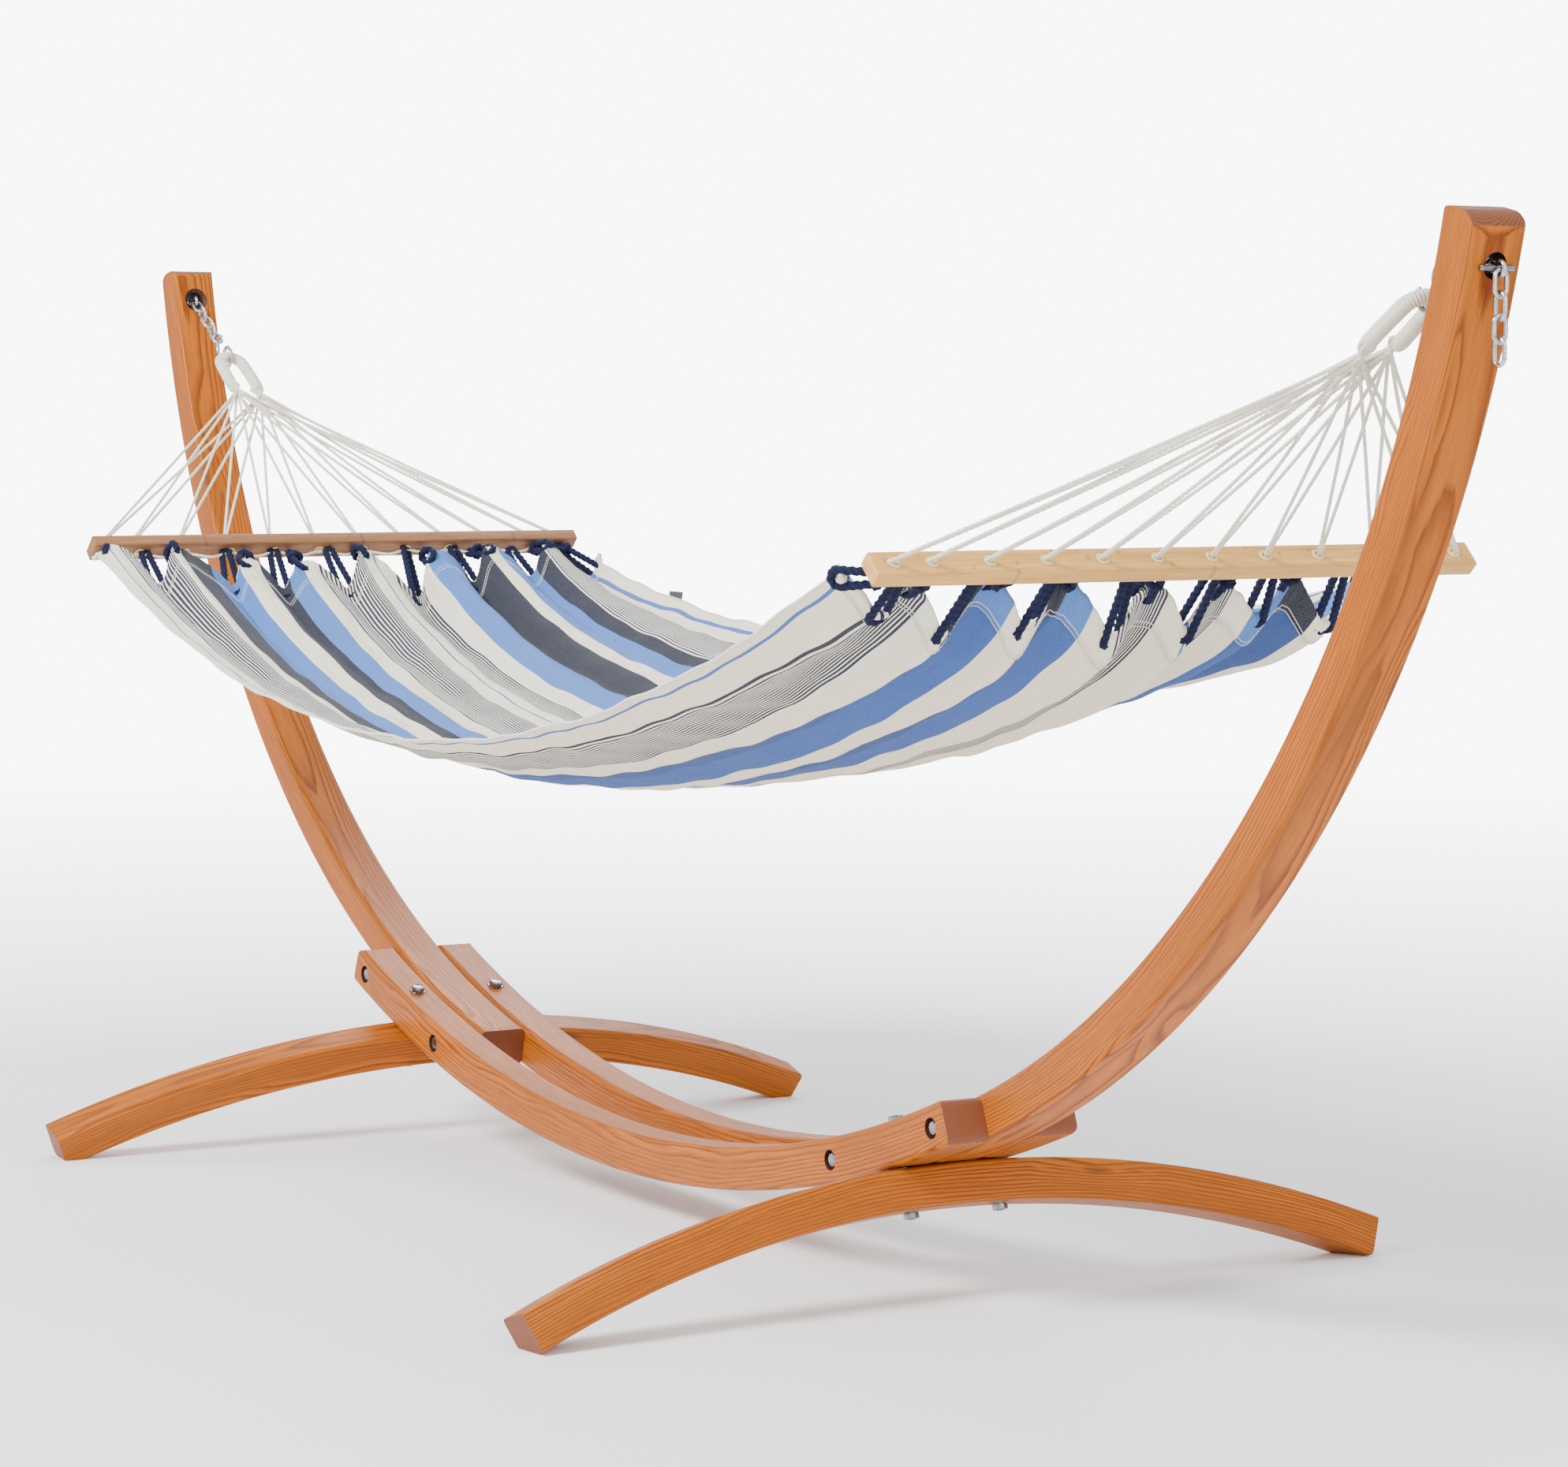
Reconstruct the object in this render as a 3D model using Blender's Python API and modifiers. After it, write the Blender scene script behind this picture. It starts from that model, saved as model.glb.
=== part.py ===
"""Spreader bar hammock on a curved wooden stand. Metres, +Z up, origin on the floor under the middle.

+X runs along the hammock to the right arm, -Y is the front.
"""

import math

import bmesh
import bpy
from mathutils import Matrix, Vector

# ---- driving dimensions, in metres and degrees ----
GAP = 0.0003

BASE_RADIUS = 2.1917
BEAM_DEPTH = 0.0560
FOOT_ANGLE = 17.75
FLOOR_TO_FOOT_CENTRE = 0.1330

SIDE_BEAM_WIDTH = 0.0566
SIDE_BEAM_END_ANGLE = 21.7
SIDE_BEAM_CORNER = 0.012

ARM_WIDTH = 0.0698
ARM_RADIUS = 1.4673
ARM_LOW_ANGLE = 13.6
ARM_TOP_ANGLE = 77.9
ARM_TOP_CORNERS = {"outer": 0.026, "inner": 0.014}
ARM_BORE_ANGLE = 75.88
ARM_BORE_RADIUS = 0.0140
ARM_MOUTH_FLARE = 0.0050

EDGE_ROUND = 0.008
ARC_STEP = 3.0

FOOT_RADIUS = 1.549
FOOT_SPAN = 1.200
FOOT_DEPTH = 0.0514
FOOT_WIDTH = 0.0534
FOOT_EDGE_ROUND = 0.006
FLOOR_BLOCK_LENGTH = 0.6
FLOOR_BLOCK_DEPTH = 0.2

BOLT_RADIUS = 0.005
BOLT_CLEARANCE = 0.0005
HEAD_RADIUS = 0.0095
HEAD_HEIGHT = 0.0065
NUT_HEIGHT = 0.0075
BOLT_STAND_OUT = 0.0010
WASHER_RADIUS = 0.0110
WASHER_THICKNESS = 0.0020
COUNTERBORE_RADIUS = 0.0128
COUNTERBORE_DEPTH = 0.0115
SPOT_FACE_RADIUS = 0.0125
SPOT_FACE_DEPTH = 0.0012
CROSS_BOLT_ANGLES = {"outer": 20.85, "inner": 14.57}

WIRE_RADIUS = 0.0025
LINK_INNER_LENGTH = 0.0220
LINK_SIDE_PLAY = 0.0025
LINK_BITE = 0.32
TAIL_LINKS = 4
INNER_LINKS = {"left": 5, "right": 1}
STOP_PIN_RADIUS = 0.0032
STOP_PIN_LENGTH = 0.0440
CHAIN_SAG_IN_BORE = 0.0015
CROWN_SINK = 0.0010

HANG_ANGLE = 34.3
JOINT_PLAY = 0.0004
SWING_PLAY = 0.0012
LOOP_PLAY = 0.0008
HOOK_RADIUS = 0.0155
HOOK_WIRE_RADIUS = 0.0030
HOOK_TURN = 250.0
HOOK_STEP = 20.0

LOOP_LENGTH = 0.0900
LOOP_HALF_WIDTH = 0.0185
LOOP_LEG_SPREAD = 0.0210
LOOP_ROPE_RADIUS = 0.0095

FAN_LENGTH = 0.4200
CORD_RADIUS = 0.0018
HUB_LENGTH = 0.0120
HUB_RADIUS = 0.0080
FAN_LAYER_OFFSET = 0.0042
STRAND_SPREAD = 0.0008
STEM_RADIUS = 0.0034
STEM_RISE = 0.0035
STEM_SINK = 0.0030

BAR_LENGTH = 0.810
BAR_BREADTH = 0.0350
BAR_THICKNESS = 0.0200
BAR_TILT = 45.0
BAR_HOLES = 12
BAR_HOLE_RADIUS = 0.0042
BAR_HOLE_MARGIN = 0.0270
BAR_END_PITCH_SHARE = 0.65
BAR_EDGE = 0.002
BAR_HOLE_TURN = 0.05

LACING_DROP = 0.0120
LACING_PLAY = 0.0010
LACING_CORD_RADIUS = 0.0015
TIE_RADIUS = 0.0035
HEM_INSET = 0.0520
HEM_DROP = 0.0260
HEM_ROPE_RADIUS = 0.0040

CLOTH_END_WIDTH = 0.830
CLOTH_MIDDLE_WIDTH = 0.740
CLOTH_THICKNESS = 0.0040
RIM_SAG_FRONT = 0.212
RIM_SAG_BACK = 0.105
RIM_LEAN = -0.20
BELLY_DROP = 0.075
BELLY_LEAN = 0.40
BELLY_FULLNESS = 0.35
END_BELLY = 0.042
CLOTH_COLUMNS = 14
CLOTH_ROWS = 24

TAG_SIZE = (0.036, 0.0012, 0.024)
TAG_STANDOFF = 0.0022
TAG_PLACE = -0.72

SIDES = {"left": -1, "right": 1}


# ---- places worked out from the dimensions ----
def base_centre_height():
    """Height of the centre of the beams' arc: the feet set how high the beams lie."""
    radial = BASE_RADIUS + BEAM_DEPTH / 2 + GAP + FOOT_DEPTH / 2
    return FLOOR_TO_FOOT_CENTRE + radial * math.cos(math.radians(FOOT_ANGLE))


BASE_HEIGHT = base_centre_height()
END_REACH = BASE_RADIUS - ARM_RADIUS
ARM_CENTRE_X = END_REACH * math.sin(math.radians(FOOT_ANGLE))
ARM_CENTRE_Z = BASE_HEIGHT - END_REACH * math.cos(math.radians(FOOT_ANGLE))


def on_base(angle, radius=BASE_RADIUS):
    """Point of the beams' arc at an angle from straight down, +X side."""
    a = math.radians(angle)
    return Vector((radius * math.sin(a), 0, BASE_HEIGHT - radius * math.cos(a)))


def on_arm(angle, radius=ARM_RADIUS):
    """Point of the right arm's upper arc at an angle from straight down."""
    a = math.radians(angle)
    return Vector((ARM_CENTRE_X + radius * math.sin(a), 0, ARM_CENTRE_Z - radius * math.cos(a)))


def flipped(point, side):
    """The point on the named side: the left is the mirror image of the right."""
    return Vector((point.x * SIDES[side], point.y, point.z))


def angle_steps(start, end, step=ARC_STEP):
    """Angles from start to end, evenly spread at about the given step."""
    count = max(1, math.ceil(abs(end - start) / step))
    return [start + (end - start) * i / count for i in range(count + 1)]


# ---- materials ----
def material(name, colour, roughness, metallic=0.0):
    """A plain Principled material."""
    made = bpy.data.materials.new(name)
    made.use_nodes = True
    shader = made.node_tree.nodes["Principled BSDF"]
    shader.inputs["Base Color"].default_value = (*colour, 1)
    shader.inputs["Roughness"].default_value = roughness
    shader.inputs["Metallic"].default_value = metallic
    return made


# ---- building blocks ----
def start_scene():
    """Empties the scene and makes the collections for the parts and the cutters."""
    for obj in list(bpy.data.objects):
        bpy.data.objects.remove(obj, do_unlink=True)
    made = []
    for name in ("hammock_on_stand", "cutters"):
        collection = bpy.data.collections.new(name)
        bpy.context.scene.collection.children.link(collection)
        made.append(collection)
    return made


SMOOTH_ANGLE = math.radians(35)
PARTS, CUTTERS = start_scene()
WOOD = material("larch", (0.62, 0.27, 0.08), 0.42)
STEEL = material("zinc_steel", (0.62, 0.62, 0.64), 0.28, 1.0)
ROPE = material("cotton_rope", (0.82, 0.78, 0.66), 0.9)
BAMBOO = material("bamboo", (0.66, 0.43, 0.20), 0.5)
NAVY = material("navy_cord", (0.02, 0.03, 0.10), 0.85)
CLOTH = material("striped_cotton", (0.75, 0.72, 0.64), 0.95)
TAG = material("woven_tag", (0.03, 0.03, 0.03), 0.8)


def put(name, mesh, finish, collection=PARTS):
    """An object made from a mesh, in its collection, with its material."""
    obj = bpy.data.objects.new(name, mesh)
    collection.objects.link(obj)
    obj.data.materials.clear()
    if finish:
        obj.data.materials.append(finish)
        mesh.shade_smooth()
        mesh.set_sharp_from_angle(angle=SMOOTH_ANGLE)
    if collection is CUTTERS:
        obj.hide_render = True
        obj.display_type = "WIRE"
    return obj


def solid_of(curve_obj):
    """The closed mesh of a curve object, which is then removed. The mesh is in world space."""
    bpy.context.view_layer.update()
    graph = bpy.context.evaluated_depsgraph_get()
    mesh = bpy.data.meshes.new_from_object(curve_obj.evaluated_get(graph))
    mesh.transform(curve_obj.matrix_world)
    shape = bmesh.new()
    shape.from_mesh(mesh)
    bmesh.ops.remove_doubles(shape, verts=shape.verts, dist=0.00002)
    bmesh.ops.recalc_face_normals(shape, faces=shape.faces)
    shape.to_mesh(mesh)
    shape.free()
    bpy.data.objects.remove(curve_obj, do_unlink=True)
    return mesh


def poly_curve(points, closed=False, dimensions="3D"):
    """A curve object with one poly spline through the points."""
    data = bpy.data.curves.new("path", "CURVE")
    data.dimensions = dimensions
    spline = data.splines.new("POLY")
    spline.points.add(len(points) - 1)
    for place, point in zip(spline.points, points):
        place.co = (*point, 1)
    spline.use_cyclic_u = closed
    obj = bpy.data.objects.new("path", data)
    bpy.context.scene.collection.objects.link(obj)
    return obj


def tube(points, radius, closed=False, sides_level=2):
    """Mesh of a round tube along the points, with filled ends."""
    obj = poly_curve(points, closed)
    obj.data.bevel_depth = radius
    obj.data.bevel_resolution = sides_level
    obj.data.use_fill_caps = not closed
    return solid_of(obj)


def plate(outline, half_width):
    """Mesh of a flat outline given in (x, z), extruded along Y by half_width to each side."""
    obj = poly_curve([(x, z, 0) for x, z in outline], closed=True, dimensions="2D")
    obj.data.fill_mode = "BOTH"
    obj.data.extrude = half_width
    obj.matrix_world = Matrix.Rotation(math.radians(90), 4, "X")
    return solid_of(obj)


def rounded_rectangle(width, depth, corner, steps=2):
    """Points of a rectangle with rounded corners, counter-clockwise."""
    points = []
    for quarter, (sx, sy) in enumerate([(1, 1), (-1, 1), (-1, -1), (1, -1)]):
        cx, cy = sx * (width / 2 - corner), sy * (depth / 2 - corner)
        for i in range(steps + 1):
            a = math.radians(90 * (quarter + i / steps))
            points.append((cx + corner * math.cos(a), cy + corner * math.sin(a), 0))
    return points


def beam(path, width, depth, corner, place):
    """Mesh of a rounded rectangular bar swept along a flat path.

    The path lies in the XY plane of place, depth is in that plane and width across it.
    """
    section = poly_curve(rounded_rectangle(depth, width, corner), closed=True, dimensions="2D")
    obj = poly_curve([(x, y, 0) for x, y in path], dimensions="2D")
    obj.data.fill_mode = "NONE"
    obj.data.bevel_mode = "OBJECT"
    obj.data.bevel_object = section
    obj.data.use_fill_caps = True
    obj.matrix_world = place
    mesh = solid_of(obj)
    bpy.data.objects.remove(section, do_unlink=True)
    return mesh


def cylinder(centre, direction, radius, length, sides=16, turn=0.0):
    """Mesh of a cylinder about centre, along direction."""
    shape = bmesh.new()
    bmesh.ops.create_cone(
        shape, cap_ends=True, segments=sides, radius1=radius, radius2=radius, depth=length
    )
    aim = Vector(direction).to_track_quat("Z", "Y").to_matrix().to_4x4()
    place = Matrix.Translation(centre) @ aim @ Matrix.Rotation(turn, 4, "Z")
    bmesh.ops.transform(shape, matrix=place, verts=shape.verts)
    mesh = bpy.data.meshes.new("cylinder")
    shape.to_mesh(mesh)
    shape.free()
    return mesh


def merged(name, meshes, finish, solver="EXACT"):
    """One closed object: the Boolean union of overlapping meshes."""
    obj = put(name, meshes[0], finish)
    for index, mesh in enumerate(meshes[1:]):
        other = put(f"{name}_piece_{index}", mesh, None, CUTTERS)
        joint = obj.modifiers.new(f"join_{index}", "BOOLEAN")
        joint.operation = "UNION"
        joint.solver = solver
        joint.object = other
    return obj


def cut(obj, meshes, solver="EXACT"):
    """Takes the meshes away from the object."""
    for index, mesh in enumerate(meshes):
        cutter = put(f"{obj.name}_cutter_{index}", mesh, None, CUTTERS)
        hole = obj.modifiers.new(f"cut_{index}", "BOOLEAN")
        hole.operation = "DIFFERENCE"
        hole.solver = solver
        hole.object = cutter


def upright():
    """Stands an XY drawing up in the XZ plane."""
    return Matrix.Rotation(math.radians(90), 4, "X")


def ring(centre, direction, outer, inner, thickness, outer_sides=16, inner_sides=16):
    """Mesh of a flat ring or nut. Its hole's sides lie outside the inner radius, clear of a shank."""
    obj = poly_curve(circle(outer, outer_sides), closed=True, dimensions="2D")
    hole = obj.data.splines.new("POLY")
    points = circle(inner / math.cos(math.pi / inner_sides), inner_sides)
    hole.points.add(len(points) - 1)
    for place, point in zip(hole.points, points):
        place.co = (*point, 1)
    hole.use_cyclic_u = True
    obj.data.fill_mode = "BOTH"
    obj.data.extrude = thickness / 2
    aim = Vector(direction).to_track_quat("Z", "Y").to_matrix().to_4x4()
    obj.matrix_world = Matrix.Translation(centre) @ aim
    return solid_of(obj)


def circle(radius, sides):
    """Points of a regular polygon about the origin."""
    angles = [2 * math.pi * i / sides for i in range(sides)]
    return [(radius * math.cos(a), radius * math.sin(a), 0) for a in angles]


# ---- the wooden stand ----
def corner_outline(corner, along, outward, radius):
    """(x, z) outline of the waste outside one rounded corner of a flat bar's end."""
    over = 0.004
    centre = corner - along * radius - outward * radius
    points = []
    for i in range(7):
        a = math.radians(90 * i / 6)
        points.append(centre + along * radius * math.sin(a) + outward * radius * math.cos(a))
    points.append(corner + along * over - outward * radius)
    points.append(corner + along * over + outward * over)
    points.append(corner - along * radius + outward * over)
    return [(p.x, p.z) for p in points]


def rounded_end(end, along, outward, depth, radii, half_width):
    """Cutters that round the two corners of a bar's end, as seen from the side."""
    cutters = []
    for sign, radius in ((1, radii[0]), (-1, radii[1])):
        side = outward * sign
        cutters.append(plate(corner_outline(end + side * (depth / 2), along, side, radius), half_width))
    return cutters


def direction_at(angle, side):
    """Unit vectors along the arc, up and outward, and away from its centre."""
    a = math.radians(angle)
    along = flipped(Vector((math.cos(a), 0, math.sin(a))), side)
    outward = flipped(Vector((math.sin(a), 0, -math.cos(a))), side)
    return along, outward


def cross_bolt_holes(side, length):
    """Cutters for the two bolts that clamp the arm between the side beams."""
    return [
        cylinder(flipped(on_base(angle), side), (0, 1, 0), BOLT_RADIUS + BOLT_CLEARANCE, length)
        for angle in CROSS_BOLT_ANGLES.values()
    ]


def make_arm(side):
    """A tall curved arm: the beams' arc between the side beams, then a tighter arc to the top."""
    path = [on_base(a) for a in angle_steps(ARM_LOW_ANGLE, FOOT_ANGLE)]
    path += [on_arm(a) for a in angle_steps(FOOT_ANGLE, ARM_TOP_ANGLE)[1:]]
    flat = [(flipped(p, side).x, p.z) for p in path]
    arm = put(f"arm_{side}", beam(flat, ARM_WIDTH, BEAM_DEPTH, EDGE_ROUND, upright()), WOOD)
    along, outward = direction_at(ARM_TOP_ANGLE, side)
    radii = (ARM_TOP_CORNERS["outer"], ARM_TOP_CORNERS["inner"])
    cutters = rounded_end(flipped(path[-1], side), along, outward, BEAM_DEPTH, radii, ARM_WIDTH)
    bore = flipped(on_arm(ARM_BORE_ANGLE), side)
    bore_way = direction_at(ARM_BORE_ANGLE, side)[1]
    cutters.append(cylinder(bore, bore_way, ARM_BORE_RADIUS, 2 * BEAM_DEPTH, 24))
    cutters.append(mouth_flare(bore - bore_way * (BEAM_DEPTH / 2), -bore_way))
    cutters += cross_bolt_holes(side, 2 * ARM_WIDTH)
    cut(arm, cutters)
    return arm


def mouth_flare(mouth, way_out):
    """Cutter for the flared inner mouth of an arm's bore, where the chain bends down."""
    shape = bmesh.new()
    over = 0.003
    bmesh.ops.create_cone(
        shape,
        cap_ends=True,
        segments=20,
        radius1=ARM_BORE_RADIUS - over,
        radius2=ARM_BORE_RADIUS + ARM_MOUTH_FLARE + over,
        depth=ARM_MOUTH_FLARE + 2 * over,
    )
    aim = way_out.to_track_quat("Z", "Y").to_matrix().to_4x4()
    middle = mouth - way_out * (ARM_MOUTH_FLARE / 2)
    bmesh.ops.transform(shape, matrix=Matrix.Translation(middle) @ aim, verts=shape.verts)
    mesh = bpy.data.meshes.new("flare")
    shape.to_mesh(mesh)
    shape.free()
    return mesh


SIDE_BEAM_Y = ARM_WIDTH / 2 + GAP + SIDE_BEAM_WIDTH / 2
STACK_HALF_WIDTH = ARM_WIDTH / 2 + GAP + SIDE_BEAM_WIDTH


def foot_bolt_axis(side, front):
    """A point on a foot bolt's axis at the middle of the side beam, and its upward direction."""
    up = -direction_at(FOOT_ANGLE, side)[1]
    return flipped(on_base(FOOT_ANGLE), side) + Vector((0, front * SIDE_BEAM_Y, 0)), up


def foot_bolt_seats(side, front):
    """Where a foot bolt's washers lie: on the side beam and under the foot."""
    centre, up = foot_bolt_axis(side, front)
    return (
        centre + up * (BEAM_DEPTH / 2 - SPOT_FACE_DEPTH),
        centre - up * (BEAM_DEPTH / 2 + GAP + FOOT_DEPTH),
    )


def spot_face(seat, way_out):
    """Cutter that makes a flat round seat for a washer in a curved face."""
    height = BEAM_DEPTH / 4
    return cylinder(seat + way_out * (height / 2), way_out, SPOT_FACE_RADIUS, height, 20)


def make_side_beam(name, front):
    """A curved beam beside the arms, sunk for the cross bolts and drilled for the foot bolts."""
    span = angle_steps(-SIDE_BEAM_END_ANGLE, SIDE_BEAM_END_ANGLE)
    path = [on_base(a) for a in span]
    mesh = beam([(p.x, p.z) for p in path], SIDE_BEAM_WIDTH, BEAM_DEPTH, EDGE_ROUND, upright())
    mesh.transform(Matrix.Translation((0, front * SIDE_BEAM_Y, 0)))
    obj = put(name, mesh, WOOD)
    cutters = []
    for side in SIDES:
        along, outward = direction_at(SIDE_BEAM_END_ANGLE, side)
        end = flipped(on_base(SIDE_BEAM_END_ANGLE), side)
        radii = (SIDE_BEAM_CORNER, SIDE_BEAM_CORNER)
        cutters += rounded_end(end, along, outward, BEAM_DEPTH, radii, 2 * STACK_HALF_WIDTH)
        cutters += cross_bolt_holes(side, 3 * STACK_HALF_WIDTH)
        for angle in CROSS_BOLT_ANGLES.values():
            centre = flipped(on_base(angle), side)
            centre.y = front * STACK_HALF_WIDTH
            depth = 2 * COUNTERBORE_DEPTH
            cutters.append(cylinder(centre, (0, 1, 0), COUNTERBORE_RADIUS, depth, 24))
        centre, up = foot_bolt_axis(side, front)
        cutters.append(cylinder(centre, up, BOLT_RADIUS + BOLT_CLEARANCE, 2 * BEAM_DEPTH))
        cutters.append(spot_face(foot_bolt_seats(side, front)[0], up))
    cut(obj, cutters)
    return obj


def make_foot(side):
    """An arched cross foot, tilted to lie under the beams, with its ends cut flat on the floor."""
    up = -direction_at(FOOT_ANGLE, side)[1]
    radial = BASE_RADIUS + BEAM_DEPTH / 2 + GAP + FOOT_DEPTH / 2
    crown = flipped(on_base(FOOT_ANGLE, radial), side)
    across = Vector((0, 1, 0))
    place = Matrix((across, up, across.cross(up))).transposed().to_4x4()
    place.translation = crown
    half_angle = math.degrees(math.asin(FOOT_SPAN / 2 / FOOT_RADIUS))
    path = []
    for angle in angle_steps(-half_angle, half_angle):
        a = math.radians(angle)
        path.append((FOOT_RADIUS * math.sin(a), FOOT_RADIUS * (math.cos(a) - 1)))
    foot = put(f"foot_{side}", beam(path, FOOT_WIDTH, FOOT_DEPTH, FOOT_EDGE_ROUND, place), WOOD)
    floor = bmesh.new()
    size = (FLOOR_BLOCK_LENGTH, 1.5 * FOOT_SPAN, FLOOR_BLOCK_DEPTH)
    bmesh.ops.create_cube(floor, size=1, matrix=Matrix.Diagonal((*size, 1)))
    shift = Matrix.Translation((crown.x, 0, -FLOOR_BLOCK_DEPTH / 2))
    bmesh.ops.transform(floor, matrix=shift, verts=floor.verts)
    block = bpy.data.meshes.new("floor_block")
    floor.to_mesh(block)
    floor.free()
    holes = []
    for front in (-1, 1):
        centre, way = foot_bolt_axis(side, front)
        holes.append(cylinder(centre, way, BOLT_RADIUS + BOLT_CLEARANCE, 4 * BEAM_DEPTH))
        holes.append(spot_face(foot_bolt_seats(side, front)[1], -way))
    cut(foot, [block, *holes])
    return foot


# ---- bolts, nuts and washers ----
def bolt(name, under_head, way, shank_length):
    """A hexagon head bolt: way points from the shank to the head."""
    overlap = 0.001
    head = cylinder(under_head + way * (HEAD_HEIGHT / 2), way, HEAD_RADIUS, HEAD_HEIGHT, 6)
    middle = under_head - way * ((shank_length - overlap) / 2)
    shank = cylinder(middle, way, BOLT_RADIUS, shank_length + overlap, 10)
    return merged(name, [head, shank], STEEL)


def washer(name, middle, way):
    """A flat washer."""
    inner = BOLT_RADIUS + GAP
    mesh = ring(middle, way, WASHER_RADIUS, inner, WASHER_THICKNESS, 12, 8)
    return put(name, mesh, STEEL)


def nut(name, middle, way):
    """A hexagon nut."""
    return put(name, ring(middle, way, HEAD_RADIUS, BOLT_RADIUS + GAP, NUT_HEIGHT, 6, 8), STEEL)


def make_fastener(name, head_seat, nut_seat, way):
    """Bolt, two washers and nut. Seats are where the washers lie; way points to the head."""
    washer_space = WASHER_THICKNESS + 2 * GAP
    washer(f"{name}_head_washer", head_seat + way * (GAP + WASHER_THICKNESS / 2), way)
    washer(f"{name}_nut_washer", nut_seat - way * (GAP + WASHER_THICKNESS / 2), way)
    nut(f"{name}_nut", nut_seat - way * (washer_space + NUT_HEIGHT / 2), way)
    grip = (head_seat - nut_seat).length + 2 * washer_space
    bolt(f"{name}_bolt", head_seat + way * washer_space, way, grip + NUT_HEIGHT + BOLT_STAND_OUT)


def make_cross_bolts(side):
    """The two bolts that clamp one arm, sunk in the side beams' counterbores."""
    way = Vector((0, -1, 0))
    for place, angle in CROSS_BOLT_ANGLES.items():
        centre = flipped(on_base(angle), side)
        seat = way * (STACK_HALF_WIDTH - COUNTERBORE_DEPTH)
        make_fastener(f"cross_{side}_{place}", centre + seat, centre - seat, way)


def make_foot_bolts(side):
    """The two bolts that hold one foot under the side beams."""
    for label, front in (("front", -1), ("back", 1)):
        way = foot_bolt_axis(side, front)[1]
        make_fastener(f"foot_{side}_{label}", *foot_bolt_seats(side, front), way)


# ---- chains, pins and hooks ----
Y_WAY = Vector((0, 1, 0))
HALF_LINK = LINK_INNER_LENGTH / 2 + WIRE_RADIUS
LINK_HALF_WIDTH = 2 * WIRE_RADIUS + LINK_SIDE_PLAY
LINK_SEAT = LINK_BITE * WIRE_RADIUS
LINK_PITCH = LINK_INNER_LENGTH + LINK_SEAT


def stadium(half_straight, half_width, steps=4):
    """Points of a link's centre line: two half circles joined by straight sides."""
    points = []
    for sign in (1, -1):
        for i in range(steps + 1):
            a = math.radians(180 * i / steps - 90) if sign == 1 else math.radians(180 * i / steps + 90)
            points.append((sign * half_straight + half_width * math.cos(a), half_width * math.sin(a)))
    return points


def link(centre, along, across):
    """Mesh of one chain link."""
    half_straight = LINK_INNER_LENGTH / 2 + WIRE_RADIUS - LINK_HALF_WIDTH
    points = stadium(half_straight, LINK_HALF_WIDTH)
    return tube([centre + along * x + across * y for x, y in points], WIRE_RADIUS, True, 1)


def chain(name, first, along, across_pair, count):
    """A run of links, each a quarter turn from the last. Taut links touch, so they are one body."""
    links = [link(first + along * (LINK_PITCH * i), along, across_pair[i % 2]) for i in range(count)]
    return merged(name, links, STEEL)


def bore_frame(side):
    """Middle of the chain's line in the arm's bore, the way out of the bore and across it."""
    along, outward = direction_at(ARM_BORE_ANGLE, side)
    return flipped(on_arm(ARM_BORE_ANGLE), side) - along * CHAIN_SAG_IN_BORE, outward, along


def hang_direction(side):
    """The taut line from the arm's bore down to the spreader bar."""
    a = math.radians(HANG_ANGLE)
    return flipped(Vector((-math.cos(a), 0, -math.sin(a))), side)


PIN_OFFSET = BEAM_DEPTH / 2 + GAP + STOP_PIN_RADIUS
OUTER_CROWN = PIN_OFFSET + STOP_PIN_RADIUS + 2 * JOINT_PLAY + 2 * WIRE_RADIUS


def anchored_links():
    """The fewest links, an odd number, whose inner crown reaches the bore's inner mouth."""
    reach = OUTER_CROWN + BEAM_DEPTH / 2 - CROWN_SINK
    count = math.ceil((reach + LINK_SEAT) / LINK_PITCH)
    return count + 1 - count % 2


ANCHORED_LINKS = anchored_links()
INNER_CROWN = OUTER_CROWN - ANCHORED_LINKS * LINK_PITCH + LINK_SEAT


def make_anchor(side):
    """The links that lie in the arm's bore, and the stop pin across its outer mouth."""
    middle, outward, across = bore_frame(side)
    first = middle + outward * (OUTER_CROWN - LINK_INNER_LENGTH / 2)
    chain(f"chain_anchor_{side}", first, -outward, (across, Y_WAY), ANCHORED_LINKS)
    pin = cylinder(middle + outward * PIN_OFFSET, Y_WAY, STOP_PIN_RADIUS, STOP_PIN_LENGTH, 12)
    put(f"stop_pin_{side}", pin, STEEL)


def tail_pivot(side):
    """Centre of the tail's first wire, in the outer crown of the anchored chain."""
    middle, outward, _ = bore_frame(side)
    return middle + outward * (PIN_OFFSET + STOP_PIN_RADIUS + JOINT_PLAY + WIRE_RADIUS)


def make_tail(side):
    """The loose end of the chain, hanging outside the arm."""
    down = Vector((0, 0, -1))
    first = tail_pivot(side) + down * HALF_LINK
    across = Vector((1, 0, 0))
    return chain(f"chain_tail_{side}", first, down, (Y_WAY, across), TAIL_LINKS)


def swing_pivot(side):
    """Where the hanging chain turns in the anchored chain's inner crown."""
    middle, outward, _ = bore_frame(side)
    crown_centre = middle + outward * (INNER_CROWN - WIRE_RADIUS + LINK_HALF_WIDTH)
    return crown_centre + hang_direction(side) * (LINK_HALF_WIDTH - 2 * WIRE_RADIUS - SWING_PLAY)


def link_normal(side):
    """Unit vector in the XZ plane, square to the hanging line."""
    return Y_WAY.cross(hang_direction(side)).normalized()


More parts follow.
